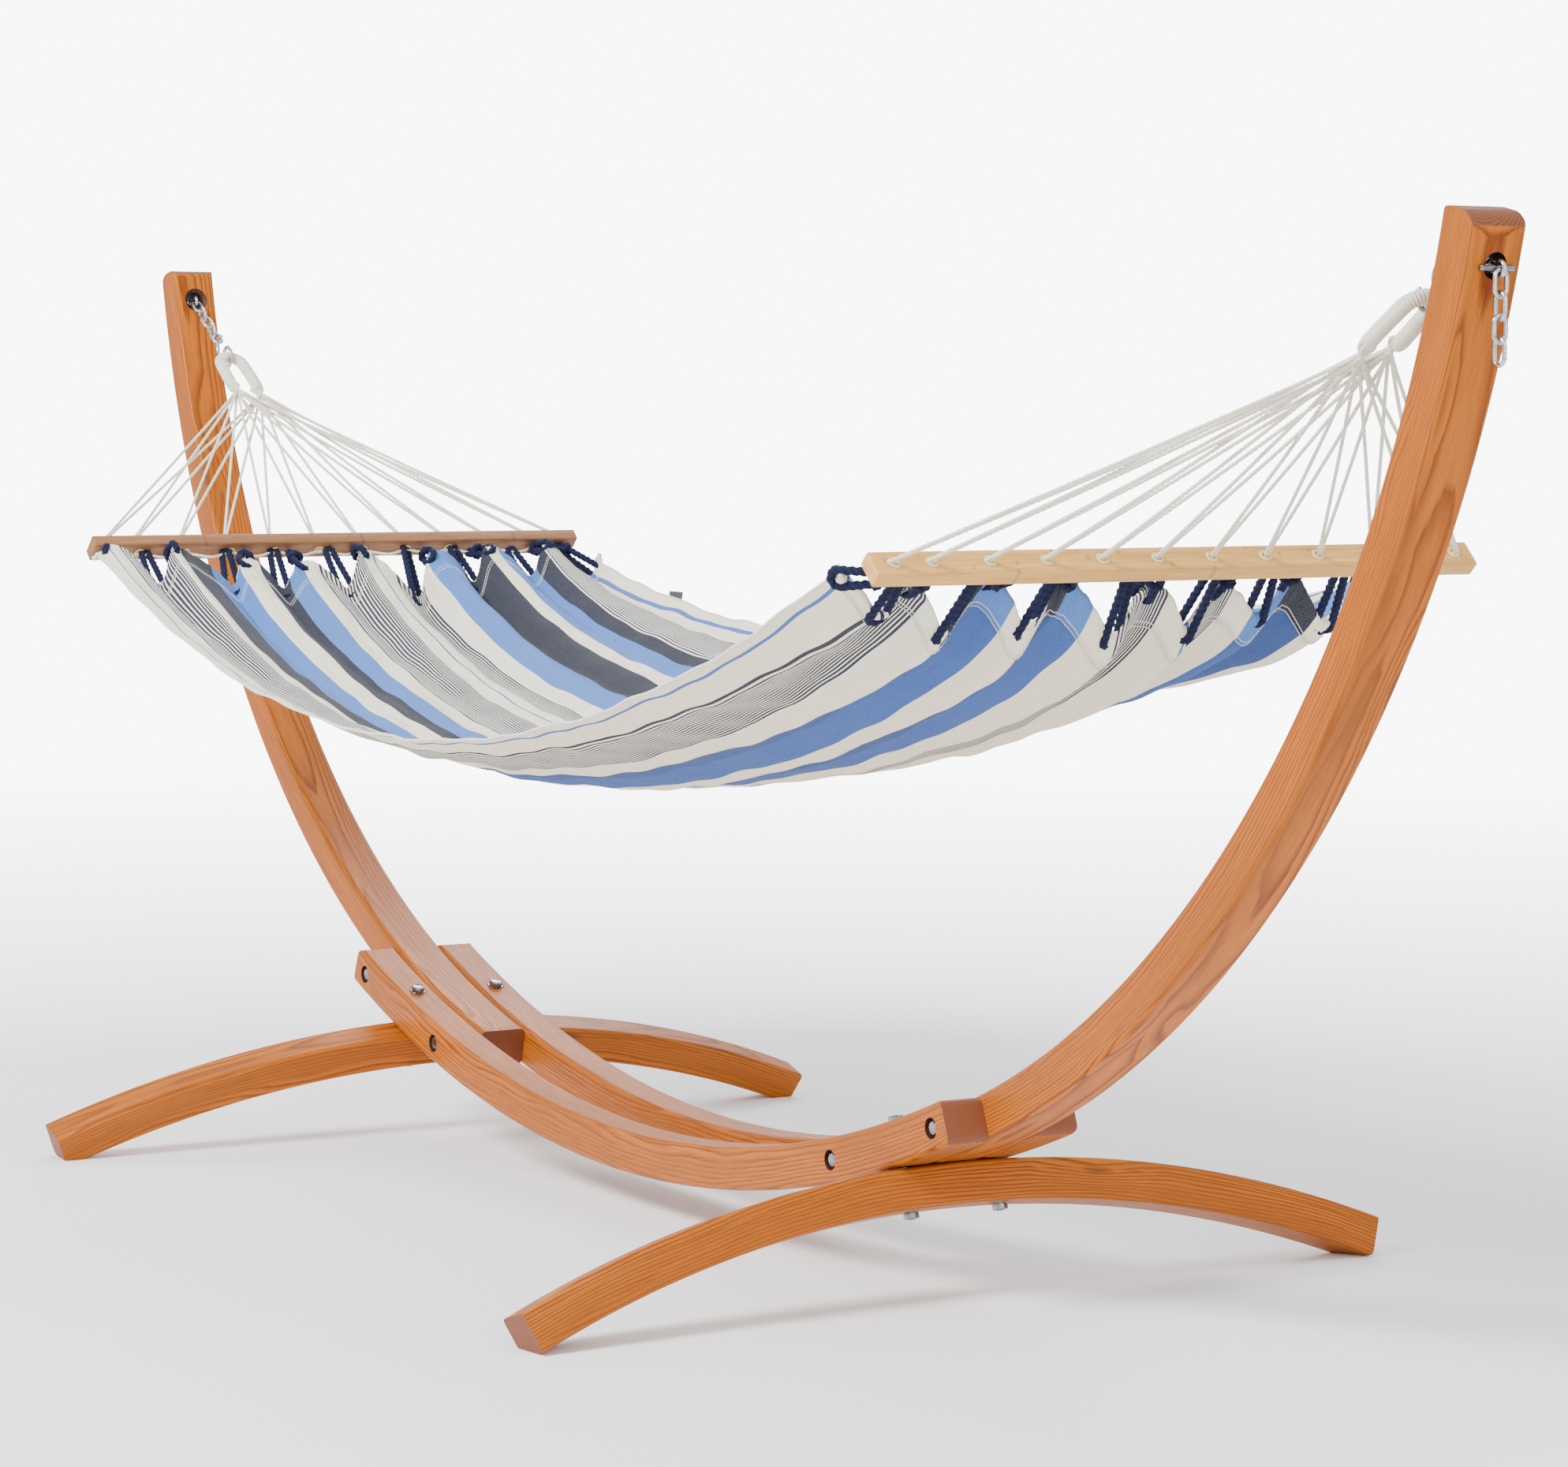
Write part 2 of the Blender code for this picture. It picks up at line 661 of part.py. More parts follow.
def hook_centres(side):
    """Centres of the S-hook's upper and lower rounds."""
    way = hang_direction(side)
    reach = (INNER_LINKS[side] - 1) * LINK_PITCH + 2 * HALF_LINK
    apex = reach - WIRE_RADIUS - HOOK_WIRE_RADIUS - GAP
    upper = swing_pivot(side) + way * (apex + HOOK_RADIUS)
    return upper, upper + way * (2 * HOOK_RADIUS)


def make_hanger(side):
    """The chain and S-hook between the bore and the hammock's loop."""
    way = hang_direction(side)
    across = link_normal(side)
    first = swing_pivot(side) + way * HALF_LINK
    chain(f"chain_{side}", first, way, (Y_WAY, across), INNER_LINKS[side])
    upper, lower = hook_centres(side)
    points = []
    for centre, start, end in ((upper, 180 - HOOK_TURN, 180), (lower, -HOOK_STEP, -HOOK_TURN)):
        for angle in angle_steps(start, end, HOOK_STEP):
            a = math.radians(angle)
            points.append(centre - way * (HOOK_RADIUS * math.cos(a)) + across * (HOOK_RADIUS * math.sin(a)))
    put(f"s_hook_{side}", tube(points, HOOK_WIRE_RADIUS), STEEL)


# ---- rope loop and cords ----
def loop_crown(side):
    """Centre of the rope where the loop hangs in the S-hook."""
    seat = HOOK_RADIUS - HOOK_WIRE_RADIUS - LOOP_ROPE_RADIUS - LOOP_PLAY
    return hook_centres(side)[1] + hang_direction(side) * seat


def make_loop(side):
    """The whipped rope loop at the end of the hammock."""
    way = hang_direction(side)
    crown = loop_crown(side)
    bend = crown + way * LOOP_HALF_WIDTH
    points = [crown + way * LOOP_LENGTH - Y_WAY * LOOP_LEG_SPREAD]
    for i in range(9):
        a = math.radians(180 * i / 8)
        points.append(bend - Y_WAY * (LOOP_HALF_WIDTH * math.cos(a)) - way * (LOOP_HALF_WIDTH * math.sin(a)))
    points.append(crown + way * LOOP_LENGTH + Y_WAY * LOOP_LEG_SPREAD)
    put(f"rope_loop_{side}", tube(points, LOOP_ROPE_RADIUS), ROPE)


def bar_centre(side):
    """Middle of the spreader bar."""
    return loop_crown(side) + hang_direction(side) * (LOOP_LENGTH + FAN_LENGTH)


def bar_axes(side):
    """The bar's hole direction, up and outward, and the direction across its broad face."""
    a = math.radians(BAR_TILT)
    normal = flipped(Vector((math.cos(a), 0, math.sin(a))), side)
    return normal, Y_WAY.cross(normal).normalized()


def bar_hole_places():
    """Y of each hole: even pitch, with the two outermost closer."""
    gaps = BAR_HOLES - 3 + 2 * BAR_END_PITCH_SHARE
    pitch = (BAR_LENGTH - 2 * BAR_HOLE_MARGIN) / gaps
    inner = [pitch * (i - (BAR_HOLES - 3) / 2) for i in range(BAR_HOLES - 2)]
    edge = BAR_LENGTH / 2 - BAR_HOLE_MARGIN
    return [-edge, *inner, edge]


def make_bar(side):
    """A bamboo spreader bar with a row of holes for the cords."""
    broad = bar_axes(side)[1]
    shape = bmesh.new()
    size = (BAR_BREADTH, BAR_LENGTH, BAR_THICKNESS)
    bmesh.ops.create_cube(shape, size=1, matrix=Matrix.Diagonal((*size, 1)))
    bmesh.ops.bevel(shape, geom=shape.edges[:], offset=BAR_EDGE, segments=1, affect="EDGES")
    mesh = bpy.data.meshes.new("bar")
    shape.to_mesh(mesh)
    shape.free()
    bar = put(f"spreader_bar_{side}", mesh, BAMBOO)
    # Each hole is turned a little, so that no two holes' corners line up.
    through = Vector((0, 0, 1))
    holes = [
        cylinder(Y_WAY * y, through, BAR_HOLE_RADIUS, 3 * BAR_THICKNESS, 10, BAR_HOLE_TURN * index)
        for index, y in enumerate(bar_hole_places())
    ]
    cut(bar, holes)
    place = Matrix((broad, Y_WAY, broad.cross(Y_WAY))).transposed().to_4x4()
    place.translation = bar_centre(side)
    bar.matrix_world = place
    for step in bar.modifiers:
        step.object.matrix_world = place


def make_fan(side):
    """The suspension cords: two from each bar hole, one to each leg of the rope loop."""
    way = hang_direction(side)
    layer = link_normal(side) * FAN_LAYER_OFFSET
    legs = loop_crown(side) + way * (LOOP_LENGTH + GAP)
    centre = bar_centre(side)
    normal = bar_axes(side)[0]
    top = normal * (BAR_THICKNESS / 2 + STEM_RISE)
    meshes = []
    for leg in (-1, 1):
        start = legs + Y_WAY * (leg * LOOP_LEG_SPREAD)
        meshes.append(cylinder(start + way * (HUB_LENGTH / 2), way, HUB_RADIUS, HUB_LENGTH, 10))
    for y in bar_hole_places():
        entry = centre + Y_WAY * y + top
        foot = centre + Y_WAY * y - normal * (BAR_THICKNESS / 2 + STEM_SINK)
        meshes.append(tube([entry + normal * CORD_RADIUS, foot], STEM_RADIUS, False, 1))
        for leg in (-1, 1):
            start = legs + Y_WAY * (leg * LOOP_LEG_SPREAD) + way * (HUB_LENGTH / 2) + layer * leg
            meshes.append(tube([start, entry + Y_WAY * (leg * STRAND_SPREAD)], CORD_RADIUS, False, 1))
    merged(f"suspension_cords_{side}", meshes, ROPE, "MANIFOLD")


# ---- the cloth and what ties it on ----
def hem_centre(side):
    """Middle of the hem rope's line between the cloth's corners."""
    return bar_centre(side) + Vector((-SIDES[side] * HEM_INSET, 0, -HEM_DROP))


def hem_point(side, y):
    """Point of the hem rope, which hangs a little lower in the middle."""
    share = 2 * y / CLOTH_END_WIDTH
    return hem_centre(side) + Vector((0, y, -END_BELLY * (1 - share * share)))


def make_lacing(side):
    """The zigzag cord under the bar and the ties that hold the hem rope to it."""
    centre = bar_centre(side)
    normal = bar_axes(side)[0]
    drop = BAR_THICKNESS / 2 + STEM_SINK + GAP + LACING_CORD_RADIUS + LACING_PLAY
    under = centre - normal * drop
    places = bar_hole_places()
    zigzag = []
    ties = []
    for index, y in enumerate(places):
        zigzag.append(under + Y_WAY * y)
        if index == len(places) - 1:
            break
        middle = (y + places[index + 1]) / 2
        hem = hem_point(side, middle)
        start = under + Y_WAY * middle
        way = (hem - start).normalized()
        valley = start + way * LACING_DROP
        zigzag.append(valley)
        end = hem - way * (HEM_ROPE_RADIUS + 2 * GAP)
        ties.append(tube([valley - way * TIE_RADIUS, end], TIE_RADIUS, False, 1))
    merged(f"lacing_{side}", [tube(zigzag, LACING_CORD_RADIUS, False, 1), *ties], NAVY)


def make_hem_rope(side):
    """The rope inside the cloth's end hem."""
    count = 12
    half = CLOTH_END_WIDTH / 2
    points = [hem_point(side, half * (2 * i / count - 1)) for i in range(count + 1)]
    put(f"hem_rope_{side}", tube(points, HEM_ROPE_RADIUS), ROPE)


def cloth_point(s, t):
    """Point of the cloth's middle surface: s runs from left to right, t from front to back."""
    inset = HEM_ROPE_RADIUS + CLOTH_THICKNESS / 2 + GAP
    left = hem_centre("left") + Vector((inset, 0, 0))
    right = hem_centre("right") - Vector((inset, 0, 0))
    place = left.lerp(right, (s + 1) / 2)
    sag = max(0.0, 1 - s * s)
    width = CLOTH_END_WIDTH + (CLOTH_MIDDLE_WIDTH - CLOTH_END_WIDTH) * sag
    rim = RIM_SAG_FRONT + (RIM_SAG_BACK - RIM_SAG_FRONT) * (t + 1) / 2
    rim *= sag * (1 + RIM_LEAN * s)
    belly = END_BELLY + BELLY_DROP * sag**BELLY_FULLNESS * (1 + BELLY_LEAN * s)
    return Vector((place.x, width / 2 * t, place.z - rim - belly * (1 - t * t)))


def make_cloth():
    """The fabric bed as one sagging sheet."""
    shape = bmesh.new()
    bmesh.ops.create_grid(shape, x_segments=CLOTH_ROWS, y_segments=CLOTH_COLUMNS, size=1)
    for vert in shape.verts:
        s = math.sin(vert.co.x * math.pi / 2)
        vert.co = cloth_point(s, vert.co.y)
    mesh = bpy.data.meshes.new("cloth")
    shape.to_mesh(mesh)
    shape.free()
    cloth = put("fabric_bed", mesh, CLOTH)
    thick = cloth.modifiers.new("thickness", "SOLIDIFY")
    thick.thickness = CLOTH_THICKNESS
    thick.offset = 0


def make_tag():
    """A small blank label sewn to the back rim."""
    place = cloth_point(TAG_PLACE, 1)
    shape = bmesh.new()
    bmesh.ops.create_cube(shape, size=1, matrix=Matrix.Diagonal((*TAG_SIZE, 1)))
    shift = Matrix.Translation(place + Vector((0, TAG_SIZE[1] / 2 + TAG_STANDOFF, 0)))
    bmesh.ops.transform(shape, matrix=shift, verts=shape.verts)
    mesh = bpy.data.meshes.new("tag")
    shape.to_mesh(mesh)
    shape.free()
    put("tag", mesh, TAG)


def main():
    """Builds the whole hammock and stand."""
    make_side_beam("side_beam_front", -1)
    make_side_beam("side_beam_back", 1)
    for side in SIDES:
        make_arm(side)
        make_foot(side)
        make_cross_bolts(side)
        make_foot_bolts(side)
        make_anchor(side)
        make_tail(side)
        make_hanger(side)
        make_loop(side)
        make_bar(side)
        make_fan(side)
        make_lacing(side)
        make_hem_rope(side)
    make_cloth()
    make_tag()


main()
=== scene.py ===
"""Looks of the spreader bar hammock and its wooden stand. Metres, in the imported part's own frame."""

import math

import bmesh
import bpy
import numpy as np
from mathutils import Matrix, Vector


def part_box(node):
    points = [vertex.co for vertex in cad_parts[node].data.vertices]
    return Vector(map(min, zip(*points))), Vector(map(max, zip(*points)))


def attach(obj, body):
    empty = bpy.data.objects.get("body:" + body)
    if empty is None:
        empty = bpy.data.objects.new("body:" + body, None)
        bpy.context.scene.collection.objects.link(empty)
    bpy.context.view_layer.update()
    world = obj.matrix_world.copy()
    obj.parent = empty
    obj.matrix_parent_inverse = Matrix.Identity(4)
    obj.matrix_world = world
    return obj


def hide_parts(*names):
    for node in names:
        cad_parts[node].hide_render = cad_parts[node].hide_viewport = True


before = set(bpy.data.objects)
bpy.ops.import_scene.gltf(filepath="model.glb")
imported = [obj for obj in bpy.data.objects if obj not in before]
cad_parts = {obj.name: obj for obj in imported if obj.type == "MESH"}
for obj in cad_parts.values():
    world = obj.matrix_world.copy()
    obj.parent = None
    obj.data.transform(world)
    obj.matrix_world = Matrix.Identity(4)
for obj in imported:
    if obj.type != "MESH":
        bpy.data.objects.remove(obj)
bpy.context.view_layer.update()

# ---- sizes shared with the part ----
GAP = 0.0003
BASE_RADIUS, BEAM_DEPTH, FOOT_ANGLE = 2.1917, 0.0560, 17.75
FLOOR_TO_FOOT_CENTRE = 0.1330
SIDE_BEAM_WIDTH, SIDE_BEAM_END_ANGLE, SIDE_BEAM_CORNER = 0.0566, 21.7, 0.012
ARM_WIDTH, ARM_RADIUS = 0.0698, 1.4673
ARM_LOW_ANGLE, ARM_TOP_ANGLE, ARM_BORE_ANGLE = 13.6, 77.9, 75.88
ARM_TOP_CORNERS = (0.026, 0.014)
ARM_BORE_RADIUS, ARM_MOUTH_FLARE = 0.0140, 0.0050
EDGE_ROUND, FOOT_EDGE_ROUND = 0.008, 0.006
FOOT_RADIUS, FOOT_SPAN, FOOT_DEPTH, FOOT_WIDTH = 1.549, 1.200, 0.0514, 0.0534
BOLT_RADIUS, HEAD_RADIUS, HEAD_HEIGHT, NUT_HEIGHT = 0.005, 0.0095, 0.0065, 0.0075
WASHER_RADIUS, WASHER_THICKNESS = 0.0110, 0.0020
COUNTERBORE_RADIUS, COUNTERBORE_DEPTH = 0.0128, 0.0115
SPOT_FACE_RADIUS, SPOT_FACE_DEPTH, BOLT_STAND_OUT = 0.0125, 0.0012, 0.0010
CROSS_BOLT_ANGLES = {"outer": 20.85, "inner": 14.57}
WIRE_RADIUS, LINK_INNER_LENGTH, LINK_HALF_WIDTH, LINK_SEAT = 0.0025, 0.0220, 0.0075, 0.0008
ANCHORED_LINKS, TAIL_LINKS, INNER_LINKS = 3, 4, {"left": 5, "right": 1}
STOP_PIN_RADIUS, STOP_PIN_LENGTH, CHAIN_SAG_IN_BORE = 0.0032, 0.0440, 0.0015
JOINT_PLAY, SWING_PLAY, LOOP_PLAY = 0.0004, 0.0012, 0.0008
HANG_ANGLE = 34.3
HOOK_RADIUS, HOOK_WIRE_RADIUS, HOOK_TURN = 0.0155, 0.0030, 250.0
LOOP_LENGTH, LOOP_HALF_WIDTH, LOOP_LEG_SPREAD, LOOP_ROPE_RADIUS = 0.0900, 0.0185, 0.0210, 0.0095
CORD_RADIUS, FAN_LAYER_OFFSET, STEM_SINK = 0.0021, 0.0042, 0.0030
BAR_LENGTH, BAR_BREADTH, BAR_THICKNESS, BAR_TILT = 0.810, 0.0350, 0.0200, 45.0
BAR_HOLES, BAR_HOLE_RADIUS, BAR_HOLE_MARGIN, BAR_END_PITCH_SHARE = 12, 0.0042, 0.0270, 0.65
LACING_DROP, HEM_INSET, HEM_DROP, HEM_ROPE_RADIUS = 0.0120, 0.0520, 0.0260, 0.0040
CLOTH_END_WIDTH, CLOTH_MIDDLE_WIDTH, CLOTH_THICKNESS = 0.830, 0.740, 0.0040
RIM_SAG_FRONT, RIM_SAG_BACK, RIM_LEAN = 0.212, 0.105, -0.20
BELLY_DROP, BELLY_LEAN, BELLY_FULLNESS, END_BELLY = 0.075, 0.40, 0.35, 0.042
SIDES = {"left": -1, "right": 1}
Y_WAY = Vector((0, 1, 0))

FOOT_RADIAL = BASE_RADIUS + BEAM_DEPTH / 2 + GAP + FOOT_DEPTH / 2
BASE_HEIGHT = FLOOR_TO_FOOT_CENTRE + FOOT_RADIAL * math.cos(math.radians(FOOT_ANGLE))
END_REACH = BASE_RADIUS - ARM_RADIUS
ARM_CENTRE = Vector((END_REACH * math.sin(math.radians(FOOT_ANGLE)), 0, 0))
ARM_CENTRE.z = BASE_HEIGHT - END_REACH * math.cos(math.radians(FOOT_ANGLE))
BASE_CENTRE = Vector((0, 0, BASE_HEIGHT))
SIDE_BEAM_Y = ARM_WIDTH / 2 + GAP + SIDE_BEAM_WIDTH / 2
STACK_HALF_WIDTH = ARM_WIDTH / 2 + GAP + SIDE_BEAM_WIDTH


def on_arc(centre, radius, angle):
    """Point of an arc in the XZ plane at an angle from straight down, +X side."""
    a = math.radians(angle)
    return centre + Vector((radius * math.sin(a), 0, -radius * math.cos(a)))


def flipped(point, side):
    """The point on the named side: the left is the mirror image of the right."""
    return Vector((point[0] * SIDES[side], point[1], point[2]))


def base_point(angle, side="right"):
    """Point of the stand's base arc on the named side."""
    return flipped(on_arc(BASE_CENTRE, BASE_RADIUS, angle), side)


def along_and_out(angle, side):
    """Unit vectors along an arc, upward, and away from its centre."""
    a = math.radians(angle)
    return flipped((math.cos(a), 0, math.sin(a)), side), flipped((math.sin(a), 0, -math.cos(a)), side)


def spread(start, end, step):
    """Evenly spaced numbers from start to end."""
    count = max(1, math.ceil(abs(end - start) / step))
    return [start + (end - start) * i / count for i in range(count + 1)]


# ---- node materials ----
class Out:
    """A node's output. Sums and products with it become Math nodes of its tree."""

    def __init__(self, socket):
        self.socket = socket
        self.tree = socket.id_data

    def __add__(self, other):
        return calc("ADD", self, other)

    def __sub__(self, other):
        return calc("SUBTRACT", self, other)

    def __mul__(self, other):
        return calc("MULTIPLY", self, other)


def put(socket, value):
    """Sets an input to a value or to another node's output."""
    if isinstance(value, Out):
        value.tree.links.new(value.socket, socket)
    else:
        socket.default_value = value


def new_material(name, roughness, **more):
    """A material with a Principled shader; returns it with its tree and shader."""
    made = bpy.data.materials.new(name)
    made.use_nodes = True
    shader = made.node_tree.nodes["Principled BSDF"]
    shader.inputs["Roughness"].default_value = roughness
    for key, value in more.items():
        shader.inputs[key.replace("_", " ")].default_value = value
    return made, made.node_tree, shader


def add(tree, kind, inputs=None, **settings):
    """A shader node with its settings and inputs."""
    made = tree.nodes.new("ShaderNode" + kind)
    for key, value in settings.items():
        setattr(made, key, value)
    for key, value in (inputs or {}).items():
        put(made.inputs[key], value)
    return made


def output(tree, kind, inputs=None, which=0, **settings):
    """One output of a new node."""
    return Out(add(tree, kind, inputs, **settings).outputs[which])


def tree_of(*values):
    """The tree of the first output among the values."""
    return next(value.tree for value in values if isinstance(value, Out))


def calc(operation, *values):
    """A Math node's output."""
    return output(tree_of(*values), "Math", dict(enumerate(values)), operation=operation)


def remap(value, low, high, to_low=0.0, to_high=1.0):
    """A clamped linear change of range."""
    ranges = {"Value": value, "From Min": low, "From Max": high, "To Min": to_low, "To Max": to_high}
    return output(value.tree, "MapRange", ranges)


def noise(vector, scale, detail=2.0, **settings):
    """A noise texture's value."""
    return output(vector.tree, "TexNoise", {"Vector": vector, "Scale": scale, "Detail": detail}, **settings)


def stretched(vector, x, y, z):
    """A vector scaled by three numbers."""
    return output(vector.tree, "VectorMath", {0: vector, 1: (x, y, z)}, operation="MULTIPLY")


def streaks(vector, x, y, z, detail=3.0, **settings):
    """Noise with its own number of spots to the metre in each direction."""
    return noise(stretched(vector, x, y, z), 1.0, detail, **settings)


def split(value, kind="SeparateXYZ"):
    """The three numbers of a vector, or of a colour with SeparateColor."""
    return [Out(socket) for socket in add(value.tree, kind, {0: value}).outputs]


def mixed(share, first, second, blend_type="MIX"):
    """A mix of two colours, each a value or an output."""
    colours = [value if isinstance(value, Out) else (*value, 1) for value in (first, second)]
    inputs = {0: share, 6: colours[0], 7: colours[1]}
    return output(tree_of(share, first, second), "Mix", inputs, 2, data_type="RGBA", blend_type=blend_type)


def ramp(value, stops, interpolation="LINEAR"):
    """A colour ramp's colour. Each stop is a position and a colour."""
    made = add(value.tree, "ValToRGB", {"Fac": value})
    made.color_ramp.interpolation = interpolation
    elements = made.color_ramp.elements
    while len(elements) < len(stops):
        elements.new(1.0)
    for element, (position, _) in zip(elements, stops):
        element.position = position
    for element, (_, colour) in zip(elements, stops):
        element.color = (*colour, 1)
    return Out(made.outputs[0])


def grey_ramp(value, *stops):
    """A ramp between greys. Each stop is a position and a level."""
    return ramp(value, [(position, (level,) * 3) for position, level in stops])


def dimmed(colour, share):
    """The colour times a share."""
    return tuple(share * x for x in colour)


def attribute(tree, name, which="Vector"):
    """A stored attribute of the mesh."""
    return output(tree, "Attribute", None, which, attribute_name=name)


def object_place(tree):
    """The point in the object's own frame."""
    return output(tree, "TexCoord", None, "Object")


def finish(shader, colour, height, distance, strength):
    """Gives the shader its colour and its bump."""
    put(shader.inputs["Base Color"], colour)
    bump = {"Height": height, "Distance": distance, "Strength": strength}
    put(shader.inputs["Normal"], output(height.tree, "Bump", bump))


LARCH_LIGHT, LARCH_DARK = (0.55, 0.150, 0.011), (0.16, 0.028, 0.002)
LARCH_WARM, LARCH_KNOT, LARCH_GLUE = (0.34, 0.075, 0.012), (0.16, 0.05, 0.015), (0.17, 0.06, 0.02)
BOARDS_PER_METRE, RINGS_PER_METRE, END_RINGS_PER_METRE = 53.6, 235.0, 330.0


def larch(name, seed):
    """Oiled larch: growth rings round a wandering heart, fine fibres, knots and glue lines."""
    made, tree, shader = new_material(
        name, 0.42, Coat_Weight=0.02, Coat_Roughness=0.25, Specular_IOR_Level=0.15
    )
    grain = attribute(tree, "grain")
    place = output(tree, "VectorMath", {0: grain, 1: (seed * 0.731, seed * 0.113, seed * 0.057)})
    _, depth, across = split(grain)
    height = depth + 0.1
    board = calc("FLOOR", height * BOARDS_PER_METRE)
    chance = output(tree, "TexWhiteNoise", {"W": board + seed}, "Color", noise_dimensions="1D")
    lots = split(chance, "SeparateColor")
    cells = stretched(place, 3.2, 14.0, 14.0)
    to_knot = output(tree, "TexVoronoi", {"Vector": cells, "Scale": 1.0}, "Distance")
    heart_depth = lots[0] * 0.05 + 0.004 + streaks(place, 1.6, 6.0, 6.0, 2.0) * 0.045
    heart_across = (lots[1] - 0.5) * 0.07 + streaks(place, 2.3, 9.0, 9.0, 2.0) * 0.040
    off_depth = depth + heart_depth
    off_across = across + heart_across
    radius = calc("SQRT", off_depth * off_depth + off_across * off_across)
    radius = radius + remap(to_knot, 0.0, 0.34, 1.0, 0.0) * 0.010
    ragged = streaks(place, 25.0, 260.0, 260.0)
    rings = calc("FRACT", radius * RINGS_PER_METRE + ragged * 0.35)
    late = grey_ramp(rings, (0.0, 0.02), (0.40, 0.18), (0.80, 0.95), (0.92, 0.05))
    fibre = streaks(place, 18.0, 900.0, 900.0)
    cloudy = streaks(place, 2.5, 22.0, 22.0)
    base = mixed(late, LARCH_LIGHT, LARCH_DARK)
    base = mixed(remap(cloudy, 0.38, 0.66, 0.0, 0.7), base, dimmed(LARCH_LIGHT, 0.58))
    base = mixed(remap(fibre, 0.42, 0.75, 0.0, 0.40), base, dimmed(LARCH_DARK, 0.55))
    base = mixed(calc("MAXIMUM", (lots[2] - 0.35) * 0.30, 0.0), base, LARCH_WARM)
    base = mixed(remap(to_knot, 0.05, 0.10, 0.85, 0.0), base, LARCH_KNOT)
    seam = calc("PINGPONG", height, 0.5 / BOARDS_PER_METRE)
    base = mixed(remap(seam, 0.0, 0.00035, 0.45, 0.0), base, LARCH_GLUE)
    put(shader.inputs["Roughness"], remap(fibre, 0.3, 0.8, 0.34, 0.52))
    finish(shader, base, fibre * 0.5 + late * -0.35, 0.0006, 0.55)
    return made


def larch_end(name, seed, light, dark):
    """Reddish end grain with curved rings and pores, for a cut beam's end; given much darker colours it
    makes the inside of a bored hole, end grain with painted shade.
    """
    made, tree, shader = new_material(name, 0.55, Specular_IOR_Level=0.3)
    place = output(tree, "VectorMath", {0: attribute(tree, "grain"), 1: (0.0, 0.035 + seed * 0.004, 0.02)})
    wobble = noise(place, 60.0)
    flat = stretched(place, 0.0, 1.0, 1.0)
    radius = output(tree, "VectorMath", {0: flat}, "Value", operation="LENGTH")
    phase = calc("FRACT", radius * END_RINGS_PER_METRE + wobble * 0.8)
    late = grey_ramp(phase, (0.0, 0.0), (0.6, 0.3), (0.9, 1.0), (1.0, 0.0))
    pores = noise(place, 900.0, 3.0)
    base = mixed(late, light, dark)
    base = mixed(remap(pores, 0.4, 0.7, 0.0, 0.5), base, dimmed(dark, 0.7))
    finish(shader, base, pores, 0.0005, 0.5)
    return made


def bamboo(name, light, dark):
    """Laminated bamboo: narrow strips side by side, fibre dashes and a node across some strips."""
    made, tree, shader = new_material(
        name, 0.45, Coat_Weight=0.05, Coat_Roughness=0.3, Specular_IOR_Level=0.3
    )
    grain = attribute(tree, "grain")
    along, across, _ = split(grain)
    strip = calc("FLOOR", (across + 0.1) * 170.0)
    chance = output(tree, "TexWhiteNoise", {"W": strip}, "Value", noise_dimensions="1D")
    shifted = along + chance * 0.9
    knuckle = remap(calc("PINGPONG", shifted, 0.13), 0.0, 0.0035, 0.7, 0.0)
    fibre = streaks(grain, 30.0, 1500.0, 1500.0)
    wave = streaks(grain, 9.0, 200.0, 200.0)
    base = mixed(remap(wave, 0.3, 0.7), light, dark)
    base = mixed(remap(fibre, 0.45, 0.72, 0.0, 0.6), base, dimmed(dark, 0.45))
    base = mixed(chance * 0.25, base, dimmed(dark, 0.7))
    base = mixed(knuckle, base, dimmed(dark, 0.5))
    finish(shader, base, fibre, 0.0004, 0.5)
    return made


ZINC_TONES = ((0.40, 0.39, 0.40), (0.60, 0.60, 0.62), (0.50, 0.48, 0.46))


def zinc(name, shade):
    """Zinc-plated steel with a fine drawn texture and small dull patches."""
    made, tree, shader = new_material(name, 0.22, Metallic=1.0)
    place = object_place(tree)
    patches = noise(place, 160.0, 4.0)
    drawn = noise(stretched(place, 1.0, 1.0, 0.25), 1400.0)
    # The share dims every tone: below 1 it paints shade into the zinc.
    dull, bright, worn = [dimmed(tone, shade) for tone in ZINC_TONES]
    colour = ramp(patches, [(0.3, dull), (0.55, bright), (0.8, worn)])
    put(shader.inputs["Roughness"], remap(patches, 0.3, 0.75, 0.16, 0.34))
    finish(shader, colour, drawn, 0.00008, 0.5)
    return made


def fibre_cord(name, light, dark, sheen):
    """Cotton or polyester cord: fine yarn lines, a slight fuzz over the modelled strands, and painted shade
    in the grooves between strands.
    """
    made, tree, shader = new_material(
        name, 0.9, Sheen_Weight=sheen, Sheen_Roughness=0.4, Specular_IOR_Level=0.25
    )
    place = object_place(tree)
    yarn = noise(place, 1900.0, 3.0)
    soil = noise(place, 45.0, 3.0)
    groove_shade = attribute(tree, "groove_shade", "Fac")
    base = mixed(remap(yarn, 0.35, 0.7), light, dimmed(light, 0.82))
    base = mixed(remap(soil, 0.4, 0.75, 0.0, 0.35), base, dark)
    # Painted shade: the grooves between strands and between whipping turns are darkened toward the dark
    # colour.
    base = mixed(groove_shade * 0.6, base, dark)
    finish(shader, base, yarn, 0.0003, 0.6)
    return made


